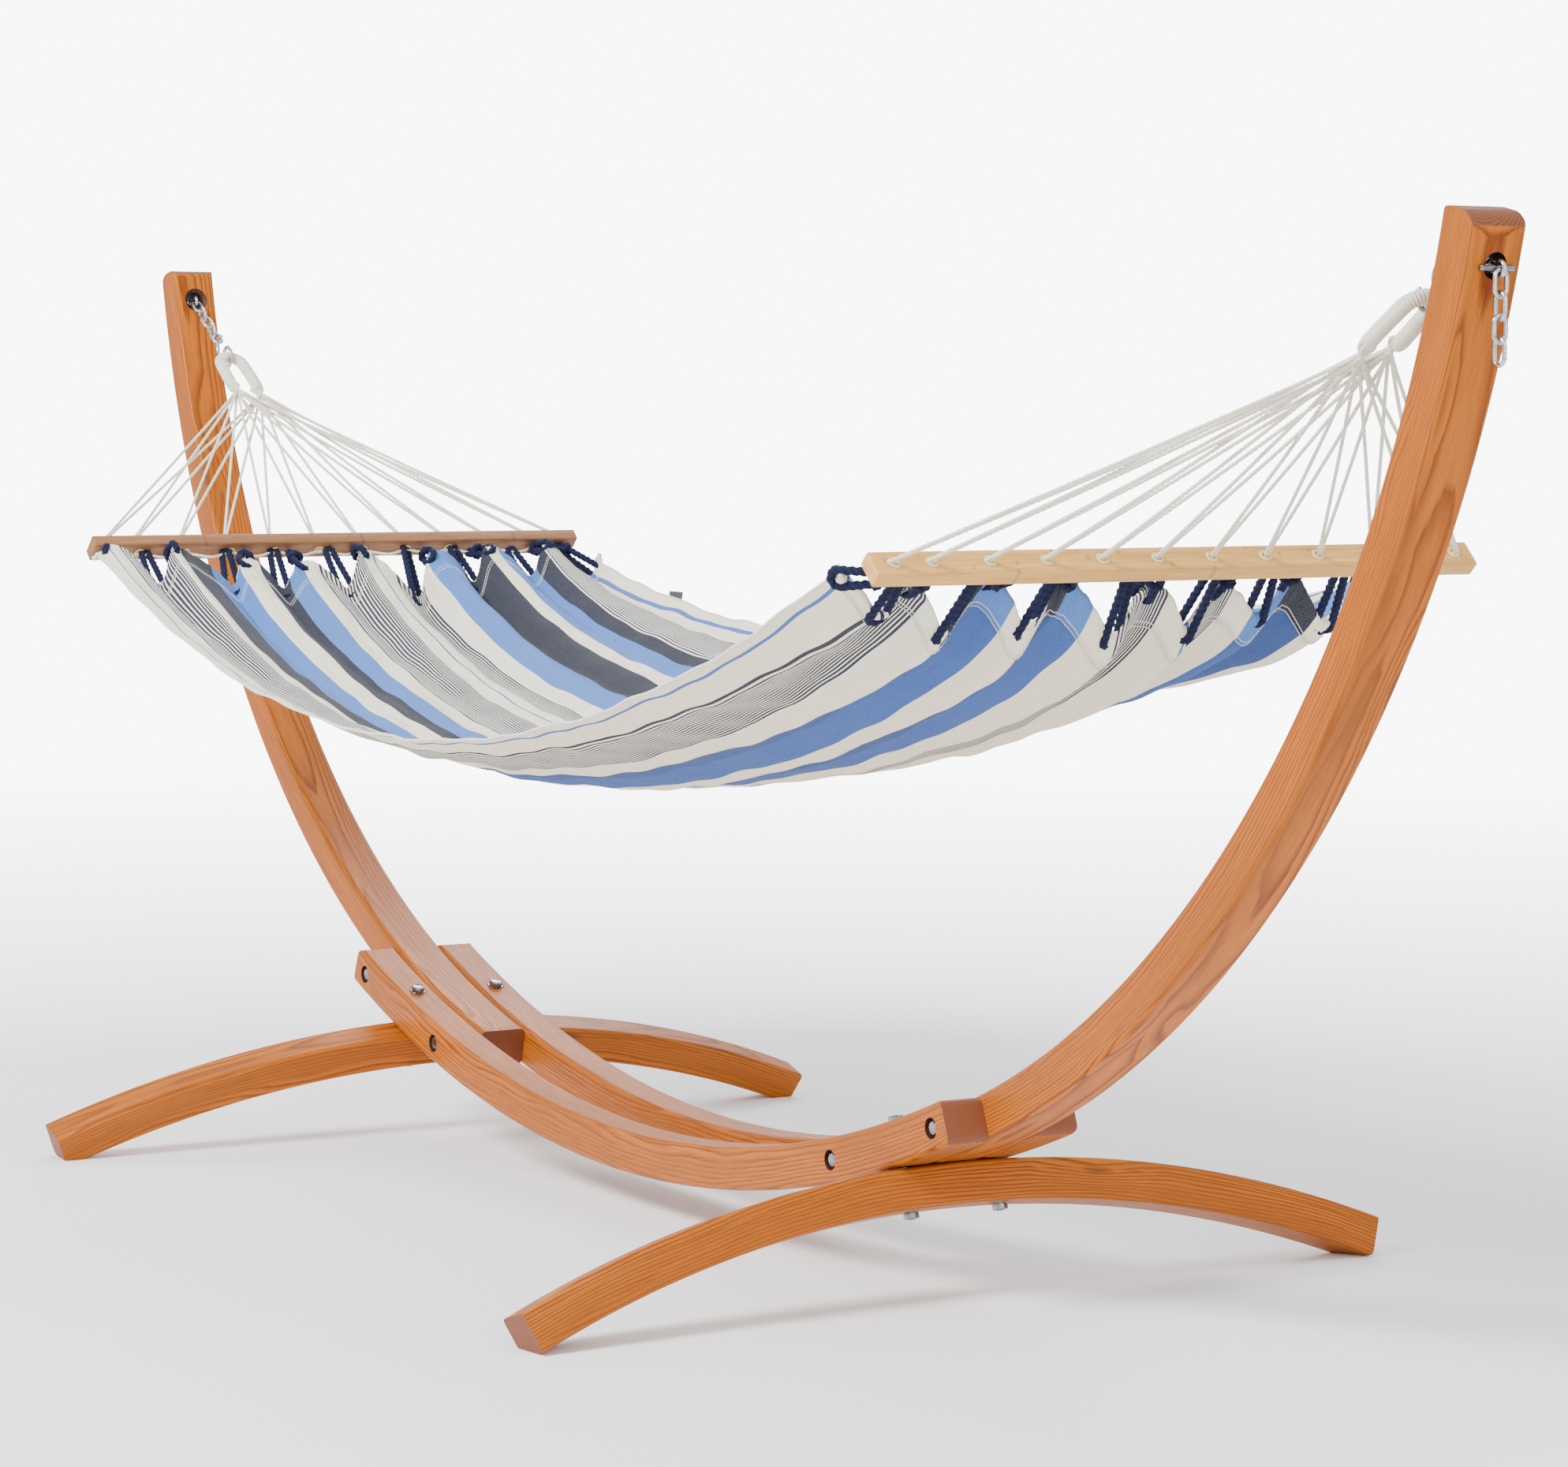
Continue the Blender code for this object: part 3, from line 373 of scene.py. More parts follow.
# Bands across the cloth from the front edge to the back edge: (name, flat width in millimetres).
BANDS = [
    ("cream", 18), ("line", 5), ("cream", 34), ("pin", 92), ("cream", 26), ("charcoal", 52),
    ("blue", 62), ("cream", 46), ("charcoal", 44), ("blue", 42), ("cream", 44), ("pin", 84),
    ("cream", 30), ("line", 5), ("cream", 34), ("pin", 50), ("cream", 28), ("blue", 60),
    ("charcoal", 62), ("cream", 34), ("blue", 60), ("charcoal", 20), ("pin", 70), ("cream", 30),
    ("line", 5), ("cream", 20),
]
CLOTH_FLAT_WIDTH = sum(width for _, width in BANDS) / 1000
PIN_PITCH, THREAD_PITCH = 0.0050, 0.0009
TOP_COLOURS = {
    "cream": (0.92, 0.86, 0.69), "line": (0.055, 0.140, 0.50), "pin": (0.86, 0.84, 0.76),
    "charcoal": (0.014, 0.017, 0.032), "blue": (0.072, 0.190, 0.54), "ink": (0.012, 0.015, 0.030),
}
UNDER_COLOURS = {
    "cream": (0.91, 0.83, 0.63), "line": (0.045, 0.115, 0.42), "pin": (0.88, 0.83, 0.72),
    "charcoal": (0.024, 0.075, 0.26), "blue": (0.034, 0.102, 0.36), "ink": (0.008, 0.010, 0.022),
}


def pin_lines(place, bands):
    """1 on a dark line of a pinstripe band and 0 elsewhere. The lines grow broader and closer."""
    total = 0.0
    for low, high in bands:
        inside = remap(place, low, high)
        count = round((high - low) / PIN_PITCH)
        phase = calc("FRACT", calc("POWER", inside, 1.2) * count)
        dark = calc("LESS_THAN", phase, remap(inside, 0.0, 1.0, 0.46, 0.62))
        within = calc("GREATER_THAN", inside, 0.0) * calc("LESS_THAN", inside, 1.0)
        total = calc("MAXIMUM", total, dark * within)
    return total


def striped_cotton(name, colours):
    """Woven cotton with the stripes in its warp, graded pinstripe bands and a heathered weave."""
    made, tree, shader = new_material(
        name, 0.92, Sheen_Weight=0.05, Sheen_Roughness=0.5, Specular_IOR_Level=0.2
    )
    flat = output(tree, "UVMap", uv_map="flat")
    along, across, _ = split(flat)
    drift = noise(stretched(flat, 2.0, 1.0, 0.0), 1.0) - 0.5
    place = across + drift * 0.0012
    stops, pins, edge = [], [], 0.0
    for kind, width in BANDS:
        stops.append((edge / CLOTH_FLAT_WIDTH, colours[kind]))
        if kind == "pin":
            pins.append((edge, edge + width / 1000))
        edge += width / 1000
    colour = ramp(calc("DIVIDE", place, CLOTH_FLAT_WIDTH), stops, "CONSTANT")
    colour = mixed(pin_lines(place, pins), colour, colours["ink"])
    warp = streaks(flat, 70.0, 1700.0, 0.0, 2.0)
    weft = streaks(flat, 1700.0, 90.0, 0.0, 2.0)
    speck = noise(flat, 1100.0)
    red = split(colour, "SeparateColor")[0]
    heather = remap(red, 0.05, 0.5, 0.17, 0.03) * remap(speck, 0.45, 0.7)
    colour = mixed(heather, colour, (0.62, 0.62, 0.62))
    worn = warp * 0.6 + weft * 0.4
    shade = remap(worn, 0.3, 0.7, 0.84, 1.12)
    grey = output(tree, "CombineColor", {0: shade, 1: shade, 2: shade})
    colour = mixed(1.0, colour, grey, "MULTIPLY")
    thread_u = calc("SINE", along * (2 * math.pi / THREAD_PITCH))
    thread_v = calc("SINE", across * (2 * math.pi / THREAD_PITCH))
    weave = thread_u * thread_v + worn * 2.0
    creases = streaks(flat, 7.0, 26.0, 0.0, 4.0, normalize=False)
    finish(shader, colour, weave * 0.0001 + creases * 0.0035, 1.0, 0.8)
    return made


def label_cloth():
    """Black woven label tape with a fine rib."""
    made, tree, shader = new_material("label_tape", 0.7, Sheen_Weight=0.3)
    place = object_place(tree)
    rib = calc("SINE", split(place)[0] * 9000.0)
    mottled = noise(place, 800.0, 3.0)
    finish(shader, mixed(mottled, (0.012, 0.012, 0.014), (0.04, 0.04, 0.045)), rib, 0.0001, 0.6)
    return made


def eyelet_plastic():
    """Pale yellow moulded plastic."""
    made, tree, shader = new_material("eyelet_plastic", 0.35, Subsurface_Weight=0.1)
    cloudy = noise(object_place(tree), 220.0, 3.0)
    colour = mixed(remap(cloudy, 0.3, 0.7), (0.78, 0.62, 0.30), (0.70, 0.52, 0.20))
    finish(shader, colour, cloudy, 0.0002, 0.3)
    return made


LARCH = {seed: larch(f"larch_{seed}", seed) for seed in range(1, 7)}
LARCH_END = larch_end("larch_end", 1, (0.26, 0.078, 0.030), (0.115, 0.031, 0.012))
# The inside of bored holes and counterbores: end grain darkened far below the cut ends, which is painted
# shade.
LARCH_BORE_PAINTED_SHADE = larch_end("larch_bore_painted_shade", 2, (0.075, 0.024, 0.010), (0.030, 0.010, 0.005))
ZINC = zinc("zinc_steel", 1.0)
# The zinc at half brightness for the bolts, nuts, washers and stop pins. This is painted shade, because the
# bolts sit in their counterbores.
SHADED_BOLT_ZINC = zinc("zinc_bolts_painted_shade", 0.5)
COTTON = fibre_cord("cotton_cord", (0.93, 0.90, 0.80), (0.60, 0.53, 0.38), 0.1)
NAVY = fibre_cord("navy_cord", (0.010, 0.014, 0.055), (0.002, 0.003, 0.012), 0.03)
THREAD = fibre_cord("stitch_thread", (0.82, 0.80, 0.74), (0.55, 0.52, 0.44), 0.2)
EYELET = eyelet_plastic()
BAMBOO = {
    "left": bamboo("bamboo_brown", (0.37, 0.175, 0.075), (0.26, 0.105, 0.040)),
    "right": bamboo("bamboo_light", (0.84, 0.50, 0.145), (0.68, 0.34, 0.075)),
}


# ---- mesh building ----
class Shape:
    """Points and faces gathered for one piece."""

    def __init__(self):
        # creases holds, per point, how deep it lies in a groove between strands; the cord material paints
        # shade there.
        self.points, self.faces, self.creases = [], [], []

    def add(self, points, faces, creases=None):
        base = len(self.points)
        self.points.extend(map(tuple, points))
        self.faces.extend(tuple(i + base for i in face) for face in faces)
        self.creases.extend(creases if creases is not None else [0.0] * len(points))
        return self


def new_object(name, data):
    """An object of the scene."""
    obj = bpy.data.objects.new(name, data)
    bpy.context.scene.collection.objects.link(obj)
    return obj


def store(mesh, name, values):
    """Stores a number or a vector at each point of the mesh."""
    values = np.array(values, np.float32)
    kind, field = ("FLOAT", "value") if values.ndim == 1 else ("FLOAT_VECTOR", "vector")
    mesh.attributes.new(name, kind, "POINT").data.foreach_set(field, values.ravel())


def settle(obj, body, replaces=(), angle=35):
    """Smooths the object, puts it on its body and hides the CAD nodes it replaces."""
    obj.data.shade_smooth()
    obj.data.set_sharp_from_angle(angle=math.radians(angle))
    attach(obj, body)
    if replaces:
        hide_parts(*replaces)
    return obj


def piece(name, shape, finish, body, replaces=(), angle=35):
    """An object from gathered points and faces."""
    mesh = bpy.data.meshes.new(name)
    mesh.from_pydata(shape.points, [], shape.faces)
    mesh.materials.append(finish)
    # The groove depths, which the cord material uses to paint shade in the grooves.
    if any(shape.creases):
        store(mesh, "groove_shade", shape.creases)
    return settle(new_object(name, mesh), body, replaces, angle)


def distances(points):
    """How far each point or row of points is along the line or sheet."""
    steps = np.linalg.norm(np.diff(points, axis=0), axis=-1)
    return np.concatenate([[0], np.cumsum(steps.reshape(len(steps), -1).mean(axis=1))])


def looked_up(where, known, points):
    """The line's points at places between the known ones."""
    return np.stack([np.interp(where, known, points[:, k]) for k in range(3)], axis=-1)


def arc(centre, first, second, radius, angles):
    """Points at angles in degrees from the first direction toward the second."""
    turns = np.radians(angles)[:, None]
    return np.array(centre) + radius * (np.cos(turns) * np.array(first) + np.sin(turns) * np.array(second))


def from_ends(path):
    """Number of points between each point and the nearer end."""
    count = np.arange(len(path))
    return np.minimum(count, count[::-1])


def resampled(points, step, closed=False):
    """The path as points a step apart."""
    points = np.asarray(points, float)
    if closed:
        points = np.vstack([points, points[:1]])
    lengths = distances(points)
    path = looked_up(np.linspace(0, lengths[-1], max(2, round(lengths[-1] / step)) + 1), lengths, points)
    return path[:-1] if closed else path


def smooth_path(points, closed=False, per=10):
    """Catmull-Rom curve through the points."""
    points = np.asarray(points, float)
    if closed:
        padded = np.vstack([points[-1:], points, points[:2]])
    else:
        padded = np.vstack([2 * points[:1] - points[1:2], points, 2 * points[-1:] - points[-2:-1]])
    t = np.linspace(0, 1, per, endpoint=False)[:, None]
    pieces = []
    for a, b, c, d in zip(padded, padded[1:], padded[2:], padded[3:]):
        square = (2 * a - 5 * b + 4 * c - d) * t**2
        cube = (3 * b - a - 3 * c + d) * t**3
        pieces.append(0.5 * (2 * b + (c - a) * t + square + cube))
    path = np.vstack(pieces)
    return path if closed else np.vstack([path, points[-1:]])


def carried_frames(path, closed):
    """Cross directions carried along a path without twisting."""
    if closed:
        tangents = np.roll(path, -1, 0) - np.roll(path, 1, 0)
    else:
        tangents = np.gradient(path, axis=0)
    tangents /= np.linalg.norm(tangents, axis=1)[:, None]
    first = np.cross(tangents[0], (0.31, 0.17, 0.93))
    side = first / np.linalg.norm(first)
    sides = []
    for tangent in tangents:
        side = side - tangent * (side @ tangent)
        side = side / np.linalg.norm(side)
        sides.append(side)
    sides = np.array(sides)
    return sides, np.cross(tangents, sides)


def tube_faces(rings, sides, joined, capped):
    """Faces between the rings of a tube, whose ends are joined, capped or left as they are."""
    faces = []
    for i in range(rings if joined else rings - 1):
        a = i * sides
        b = (i + 1) % rings * sides
        faces.extend((a + j, a + (j + 1) % sides, b + (j + 1) % sides, b + j) for j in range(sides))
    if capped:
        faces.append(tuple(reversed(range(sides))))
        faces.append(tuple(range((rings - 1) * sides, rings * sides)))
    return faces


def sweep(shape, path, radius, sides=12, closed=False, lobes=0, depth=0.0, pitch=0.01, taper=None):
    """A tube along a path. Its lobes wind round it as strands do, one turn a pitch."""
    path = np.asarray(path, float)
    first, second = carried_frames(path, closed)
    angles = 2 * np.pi * np.arange(sides) / sides
    wave = np.zeros((len(path), sides))
    if lobes:
        wave = np.cos(lobes * (angles[None, :] - 2 * np.pi * distances(path)[:, None] / pitch))
    reach = radius * (1 + depth * wave)
    if taper is not None:
        reach = reach * np.asarray(taper)[:, None]
    turn = np.cos(angles)[None, :, None] * first[:, None] + np.sin(angles)[None, :, None] * second[:, None]
    points = (path[:, None] + reach[..., None] * turn).reshape(-1, 3)
    # Per point, how deep the lobes dip: the cord material paints shade in these grooves.
    creases = list((0.5 - 0.5 * wave).ravel()) if lobes else None
    shape.add(points, tube_faces(len(path), sides, closed, not closed), creases)


def strands(shape, path, radius, sides, depth, pitch, closed=False):
    """A three-strand cord along a path."""
    sweep(shape, path, radius, sides, closed, lobes=3, depth=depth, pitch=pitch)


def turned(shape, profile, centre, axis, segments=32, hexagon=None):
    """A profile of (radius, height) turned about an axis, held within a hexagon if one is given."""
    aim = np.array(Vector(axis).to_track_quat("Z", "Y").to_matrix())
    angles = 2 * np.pi * np.arange(segments) / segments
    from_flat = (angles + np.pi / 6) % (np.pi / 3) - np.pi / 6
    rings = []
    for radius, height in profile:
        reach = np.full(segments, radius)
        if hexagon:
            reach = np.minimum(reach, hexagon * math.cos(math.pi / 6) / np.cos(from_flat))
        ring = [reach * np.cos(angles), reach * np.sin(angles), np.full(segments, height)]
        rings.append(np.stack(ring, 1))
    points = np.vstack(rings) @ aim.T + np.array(centre)
    shape.add(points, tube_faces(len(profile), segments, False, profile[0] != profile[-1]))


# ---- the wooden stand ----
def section(width, depth, corner, steps=5):
    """Points of a rounded rectangle, counter-clockwise: first across the depth, then the width."""
    points = []
    for quarter, (sx, sy) in enumerate([(1, 1), (-1, 1), (-1, -1), (1, -1)]):
        for i in range(steps + 1):
            a = math.radians(90 * (quarter + i / steps))
            x = sx * (depth / 2 - corner) + corner * math.cos(a)
            points.append((x, sy * (width / 2 - corner) + corner * math.sin(a)))
    return points


def mesh_of(shape, name):
    """The mesh of a finished bmesh."""
    mesh = bpy.data.meshes.new(name)
    shape.to_mesh(mesh)
    shape.free()
    return mesh


def skinned(name, outlines):
    """Closed mesh over outlines of equal length, one after another."""
    shape = bmesh.new()
    rings = [[shape.verts.new(point) for point in outline] for outline in outlines]
    count = len(rings[0])
    for low, high in zip(rings, rings[1:]):
        for j in range(count):
            shape.faces.new((low[j], low[(j + 1) % count], high[(j + 1) % count], high[j]))
    shape.faces.new(rings[0][::-1])
    shape.faces.new(rings[-1])
    bmesh.ops.recalc_face_normals(shape, faces=shape.faces)
    return mesh_of(shape, name)


def swept_beam(centres, outs, width_way, width, depth, corner):
    """Mesh of a rounded bar: a section at each centre, spanned by its outward and width directions."""
    profile = section(width, depth, corner)
    outlines = []
    for centre, out in zip(centres, outs):
        outlines.append([Vector(centre) + Vector(out) * x + width_way * y for x, y in profile])
    return skinned("beam", outlines)


def rod(centre, way, radius, length, sides=48, far_radius=None):
    """Mesh of a cylinder or cone about its centre, used as a cutter."""
    shape = bmesh.new()
    top = radius if far_radius is None else far_radius
    bmesh.ops.create_cone(shape, cap_ends=True, segments=sides, radius1=radius, radius2=top, depth=length)
    aim = Vector(way).to_track_quat("Z", "Y").to_matrix().to_4x4()
    bmesh.ops.transform(shape, matrix=Matrix.Translation(centre) @ aim, verts=shape.verts)
    return mesh_of(shape, "rod")


def corner_waste(corner, along, out, radius, half_width):
    """Cutter outside one rounded corner of a beam's end, a prism across Y."""
    over = 0.006
    centre = corner - along * radius - out * radius
    outline = []
    for angle in spread(0, 90, 7.5):
        a = math.radians(angle)
        outline.append(centre + along * radius * math.sin(a) + out * radius * math.cos(a))
    outline.append(corner + along * over - out * radius)
    outline.append(corner + along * over + out * over)
    outline.append(corner - along * radius + out * over)
    return skinned("waste", [[p + Y_WAY * y for p in outline] for y in (-half_width, half_width)])


def carved(name, mesh, cutters, softened=0.0012):
    """The mesh less its cutters, with its crisp edges a little softened, as an object."""
    obj = new_object(name, mesh)
    helpers = []
    for cutter in cutters:
        helper = new_object("cutter", cutter)
        helpers.append(helper)
        step = obj.modifiers.new("cut", "BOOLEAN")
        step.operation = "DIFFERENCE"
        step.object = helper
    soft = obj.modifiers.new("soft", "BEVEL")
    soft.width = softened
    soft.segments = 2
    soft.limit_method = "ANGLE"
    soft.angle_limit = math.radians(40)
    bpy.context.view_layer.update()
    made = bpy.data.meshes.new_from_object(obj.evaluated_get(bpy.context.evaluated_depsgraph_get()))
    obj.modifiers.clear()
    obj.data = made
    for helper in helpers:
        bpy.data.objects.remove(helper, do_unlink=True)
    return obj


def bored(centre, normal, holes):
    """Whether a face is in one of the holes, each a point on its axis, its direction and a radius."""
    for start, way, radius in holes:
        gap = centre - start
        gap -= way * gap.dot(way)
        if gap.length < radius and abs(normal.dot(way)) < 0.8:
            return True
    return False


def finish_wood(obj, grain, ends, holes, seed, node):
    """Stores the grain's (along, depth, across), paints ends as end grain and holes as end grain with
    painted shade, and puts the beam on the stand.
    """
    mesh = obj.data
    store(mesh, "grain", [grain(v.co) for v in mesh.vertices])
    mesh.materials.clear()
    for finish_of in (LARCH[seed], LARCH_END, LARCH_BORE_PAINTED_SHADE):
        mesh.materials.append(finish_of)
    for face in mesh.polygons:
        in_hole = bored(face.center, face.normal, holes)
        # Faces inside a hole get the dark bore finish, which is painted shade.
        face.material_index = 2 if in_hole else int(ends(face.center, face.normal))
    flatten = obj.modifiers.new("flat_faces", "WEIGHTED_NORMAL")
    flatten.keep_sharp = True
    settle(obj, "stand", [node], 28)


def arc_grain(centre, radius, side=1):
    """Grain coordinates round an arc in the XZ plane."""

    def place(point):
        x, z = point.x - centre.x * side, centre.z - point.z
        return radius * math.atan2(x, z), math.hypot(x, z) - radius, point.y

    return place


BOLT_HOLE_RADIUS = BOLT_RADIUS + 0.0005
END_REACH_OF_PAINT = 0.045


def bolt_rods(side, length):
    """Cutters for the cross bolts' holes on one side."""
    return [rod(base_point(a, side), Y_WAY, BOLT_HOLE_RADIUS, length) for a in CROSS_BOLT_ANGLES.values()]


def at_end(centre, normal, end, along):
    """Whether a face belongs to a beam's cut end, which faces along."""
    return (centre - end).length < END_REACH_OF_PAINT and normal.dot(along) > 0.55


def make_arm(side, seed):
    """A tall curved arm with its flared chain bore."""
    low = [(base_point(a), a) for a in spread(ARM_LOW_ANGLE, FOOT_ANGLE, 1.0)]
    high = [(on_arc(ARM_CENTRE, ARM_RADIUS, a), a) for a in spread(FOOT_ANGLE, ARM_TOP_ANGLE, 1.0)[1:]]
    path = low + high
    mesh = swept_beam(
        [flipped(p, side) for p, _ in path],
        [along_and_out(a, side)[1] for _, a in path],
        Y_WAY, ARM_WIDTH, BEAM_DEPTH, EDGE_ROUND,
    )
    along, out = along_and_out(ARM_TOP_ANGLE, side)
    top = flipped(path[-1][0], side)
    cutters = [
        corner_waste(top + out * (sign * BEAM_DEPTH / 2), along, out * sign, radius, ARM_WIDTH)
        for sign, radius in zip((1, -1), ARM_TOP_CORNERS)
    ]
    bore = flipped(on_arc(ARM_CENTRE, ARM_RADIUS, ARM_BORE_ANGLE), side)
    way = along_and_out(ARM_BORE_ANGLE, side)[1]
    cutters.append(rod(bore, way, ARM_BORE_RADIUS, 2 * BEAM_DEPTH))
    over = 0.003
    mouth = bore - way * (BEAM_DEPTH / 2 - ARM_MOUTH_FLARE / 2)
    wide = ARM_BORE_RADIUS + ARM_MOUTH_FLARE + over
    cutters.append(rod(mouth, -way, ARM_BORE_RADIUS - over, ARM_MOUTH_FLARE + 2 * over, 40, wide))
    cutters += bolt_rods(side, 2 * ARM_WIDTH)
    obj = carved(f"arm_{side}_wood", mesh, cutters)
    bottom = base_point(ARM_LOW_ANGLE, side)
    down = -along_and_out(ARM_LOW_ANGLE, side)[0]

    def is_end(centre, normal):
        return at_end(centre, normal, top, along) or at_end(centre, normal, bottom, down)

    grain = arc_grain(ARM_CENTRE, ARM_RADIUS, SIDES[side])
    finish_wood(obj, grain, is_end, [(bore, way, wide)], seed, f"arm_{side}")


def foot_bolt(side, front):
    """Middle of the side beam on a foot bolt's axis, and the axis' upward direction."""
    up = -along_and_out(FOOT_ANGLE, side)[1]
    return base_point(FOOT_ANGLE, side) + Y_WAY * (front * SIDE_BEAM_Y), up


def make_side_beam(name, front, seed):
    """A curved beam beside the arms, with counterbores and spot faces."""
    angles = spread(-SIDE_BEAM_END_ANGLE, SIDE_BEAM_END_ANGLE, 1.0)
    shift = Y_WAY * (front * SIDE_BEAM_Y)
    mesh = swept_beam(
        [base_point(a) + shift for a in angles],
        [along_and_out(a, "right")[1] for a in angles],
        Y_WAY, SIDE_BEAM_WIDTH, BEAM_DEPTH, EDGE_ROUND,
    )
    cutters, holes = [], []
    for side in SIDES:
        along, out = along_and_out(SIDE_BEAM_END_ANGLE, side)
        end = base_point(SIDE_BEAM_END_ANGLE, side)
        for sign in (1, -1):
            place = end + out * (sign * BEAM_DEPTH / 2)
            cutters.append(corner_waste(place, along, out * sign, SIDE_BEAM_CORNER, 2 * STACK_HALF_WIDTH))
        cutters += bolt_rods(side, 3 * STACK_HALF_WIDTH)
        for angle in CROSS_BOLT_ANGLES.values():
            centre = base_point(angle, side)
            centre.y = front * STACK_HALF_WIDTH
            cutters.append(rod(centre, Y_WAY, COUNTERBORE_RADIUS, 2 * COUNTERBORE_DEPTH))
            holes.append((centre, Y_WAY, COUNTERBORE_RADIUS + 0.001))
        centre, up = foot_bolt(side, front)
        cutters.append(rod(centre, up, BOLT_HOLE_RADIUS, 2 * BEAM_DEPTH))
        seat = centre + up * (BEAM_DEPTH / 2 - SPOT_FACE_DEPTH + BEAM_DEPTH / 8)
        cutters.append(rod(seat, up, SPOT_FACE_RADIUS, BEAM_DEPTH / 4))
    obj = carved(f"{name}_wood", mesh, cutters)

    def is_end(centre, normal):
        side = "right" if centre.x > 0 else "left"
        end = base_point(SIDE_BEAM_END_ANGLE, side) + shift
        return at_end(centre, normal, end, along_and_out(SIDE_BEAM_END_ANGLE, side)[0])

    finish_wood(obj, arc_grain(BASE_CENTRE, BASE_RADIUS), is_end, holes, seed, name)


def make_foot(side, seed):
    """An arched cross foot, cut flat where it stands on the floor."""
    up = -along_and_out(FOOT_ANGLE, side)[1]
    crown = flipped(on_arc(BASE_CENTRE, FOOT_RADIAL, FOOT_ANGLE), side)
    half_angle = math.degrees(math.asin(FOOT_SPAN / 2 / FOOT_RADIUS))
    centre = crown - up * FOOT_RADIUS
    centres, outs = [], []
    for angle in spread(-half_angle, half_angle, 1.0):
        a = math.radians(angle)
        out = Y_WAY * math.sin(a) + up * math.cos(a)
        outs.append(out)
        centres.append(centre + out * FOOT_RADIUS)
    across = Y_WAY.cross(up)
    mesh = swept_beam(centres, outs, across, FOOT_WIDTH, FOOT_DEPTH, FOOT_EDGE_ROUND)
    floor = bmesh.new()
    block = Matrix.Translation((crown.x, 0, -0.1)) @ Matrix.Diagonal((0.6, 1.5 * FOOT_SPAN, 0.2, 1))
    bmesh.ops.create_cube(floor, size=1, matrix=block)
    cutters = [mesh_of(floor, "floor_block")]
    for front in (-1, 1):
        axis_point, way = foot_bolt(side, front)
        cutters.append(rod(axis_point, way, BOLT_HOLE_RADIUS, 4 * BEAM_DEPTH))
        seat = axis_point - way * (BEAM_DEPTH / 2 + GAP + FOOT_DEPTH + BEAM_DEPTH / 8)
        cutters.append(rod(seat, way, SPOT_FACE_RADIUS, BEAM_DEPTH / 4))
    obj = carved(f"foot_{side}_wood", mesh, cutters)

    def grain(point):
        offset = point - centre
        y, z = offset.dot(Y_WAY), offset.dot(up)
        return FOOT_RADIUS * math.atan2(y, z), math.hypot(y, z) - FOOT_RADIUS, offset.dot(across)

    def is_end(place, normal):
        return abs(place.y) > 0.9 * FOOT_SPAN / 2 and abs(normal.y) > 0.7

    finish_wood(obj, grain, is_end, [], seed, f"foot_{side}")


make_side_beam("side_beam_front", -1, 1)
make_side_beam("side_beam_back", 1, 2)
make_arm("left", 3)
make_arm("right", 4)
make_foot("left", 5)
make_foot("right", 6)


# ---- bolts, nuts and washers ----
def rounded_ring(outer, inner, low, high, edge):
    """Profile of a washer with rounded edges, closed on itself."""
    return [
        (inner, low), (outer - edge, low), (outer, low + edge), (outer, high - edge),
        (outer - edge, high), (inner + edge, high), (inner, high - edge), (inner, low),
    ]


def steel(name, profile, centre, axis, segments, hexagon, node):
    """A turned zinc piece of the stand."""
    shape = Shape()
    turned(shape, profile, centre, axis, segments, hexagon)
    piece(name, shape, SHADED_BOLT_ZINC, "stand", [node], 25)


THREAD_RINGS = 22


def make_fastener(name, head_seat, nut_seat, way):
    """A hexagon bolt, its two washers and its nut, with chamfered corners and thread turns."""
    space = WASHER_THICKNESS + 2 * GAP
    ring = rounded_ring(WASHER_RADIUS, BOLT_RADIUS + GAP, GAP, GAP + WASHER_THICKNESS, 0.0005)
    for label, seat, sign in (("head", head_seat, 1), ("nut", nut_seat, -1)):
        node = f"{name}_{label}_washer"
        steel(f"{node}_zinc", ring, seat, way * sign, 40, None, node)
    hole, top = BOLT_RADIUS + GAP, NUT_HEIGHT
    nut = [
        (hole, 0.0), (0.0086, 0.0), (HEAD_RADIUS, 0.0007), (HEAD_RADIUS, top - 0.0009),
        (0.0082, top), (hole + 0.0006, top), (hole, top - 0.0006), (hole, 0.0),
    ]
    steel(f"{name}_nut_zinc", nut, nut_seat - way * space, -way, 48, HEAD_RADIUS, f"{name}_nut")
    grip = (head_seat - nut_seat).length + 2 * space + NUT_HEIGHT + BOLT_STAND_OUT
    bolt = [(0.0036, -grip)]
    for turn in range(THREAD_RINGS):
        share = 0.9 if turn % 2 else 0.985
        bolt.append((BOLT_RADIUS * share, 0.0008 + 0.0006 * turn - grip))
    bolt += [(BOLT_RADIUS, 0.016 - grip), (BOLT_RADIUS, 0.0), (0.0086, 0.0), (HEAD_RADIUS, 0.0006)]
    crown = ((HEAD_RADIUS, 0.0012), (0.0080, 0.0002), (0.0074, 0.0), (0.0062, 0.0004), (0.0010, 0.0005))
    bolt += [(radius, HEAD_HEIGHT - below) for radius, below in crown]
    steel(f"{name}_bolt_zinc", bolt, head_seat + way * space, way, 48, HEAD_RADIUS, f"{name}_bolt")


for side in SIDES:
    for place, angle in CROSS_BOLT_ANGLES.items():
        middle = base_point(angle, side)
        seat = Y_WAY * (STACK_HALF_WIDTH - COUNTERBORE_DEPTH)
        make_fastener(f"cross_{side}_{place}", middle - seat, middle + seat, -Y_WAY)
    for label, front in (("front", -1), ("back", 1)):
        middle, up = foot_bolt(side, front)
        head = middle + up * (BEAM_DEPTH / 2 - SPOT_FACE_DEPTH)
        nut = middle - up * (BEAM_DEPTH / 2 + GAP + FOOT_DEPTH)
        make_fastener(f"foot_{side}_{label}", head, nut, up)


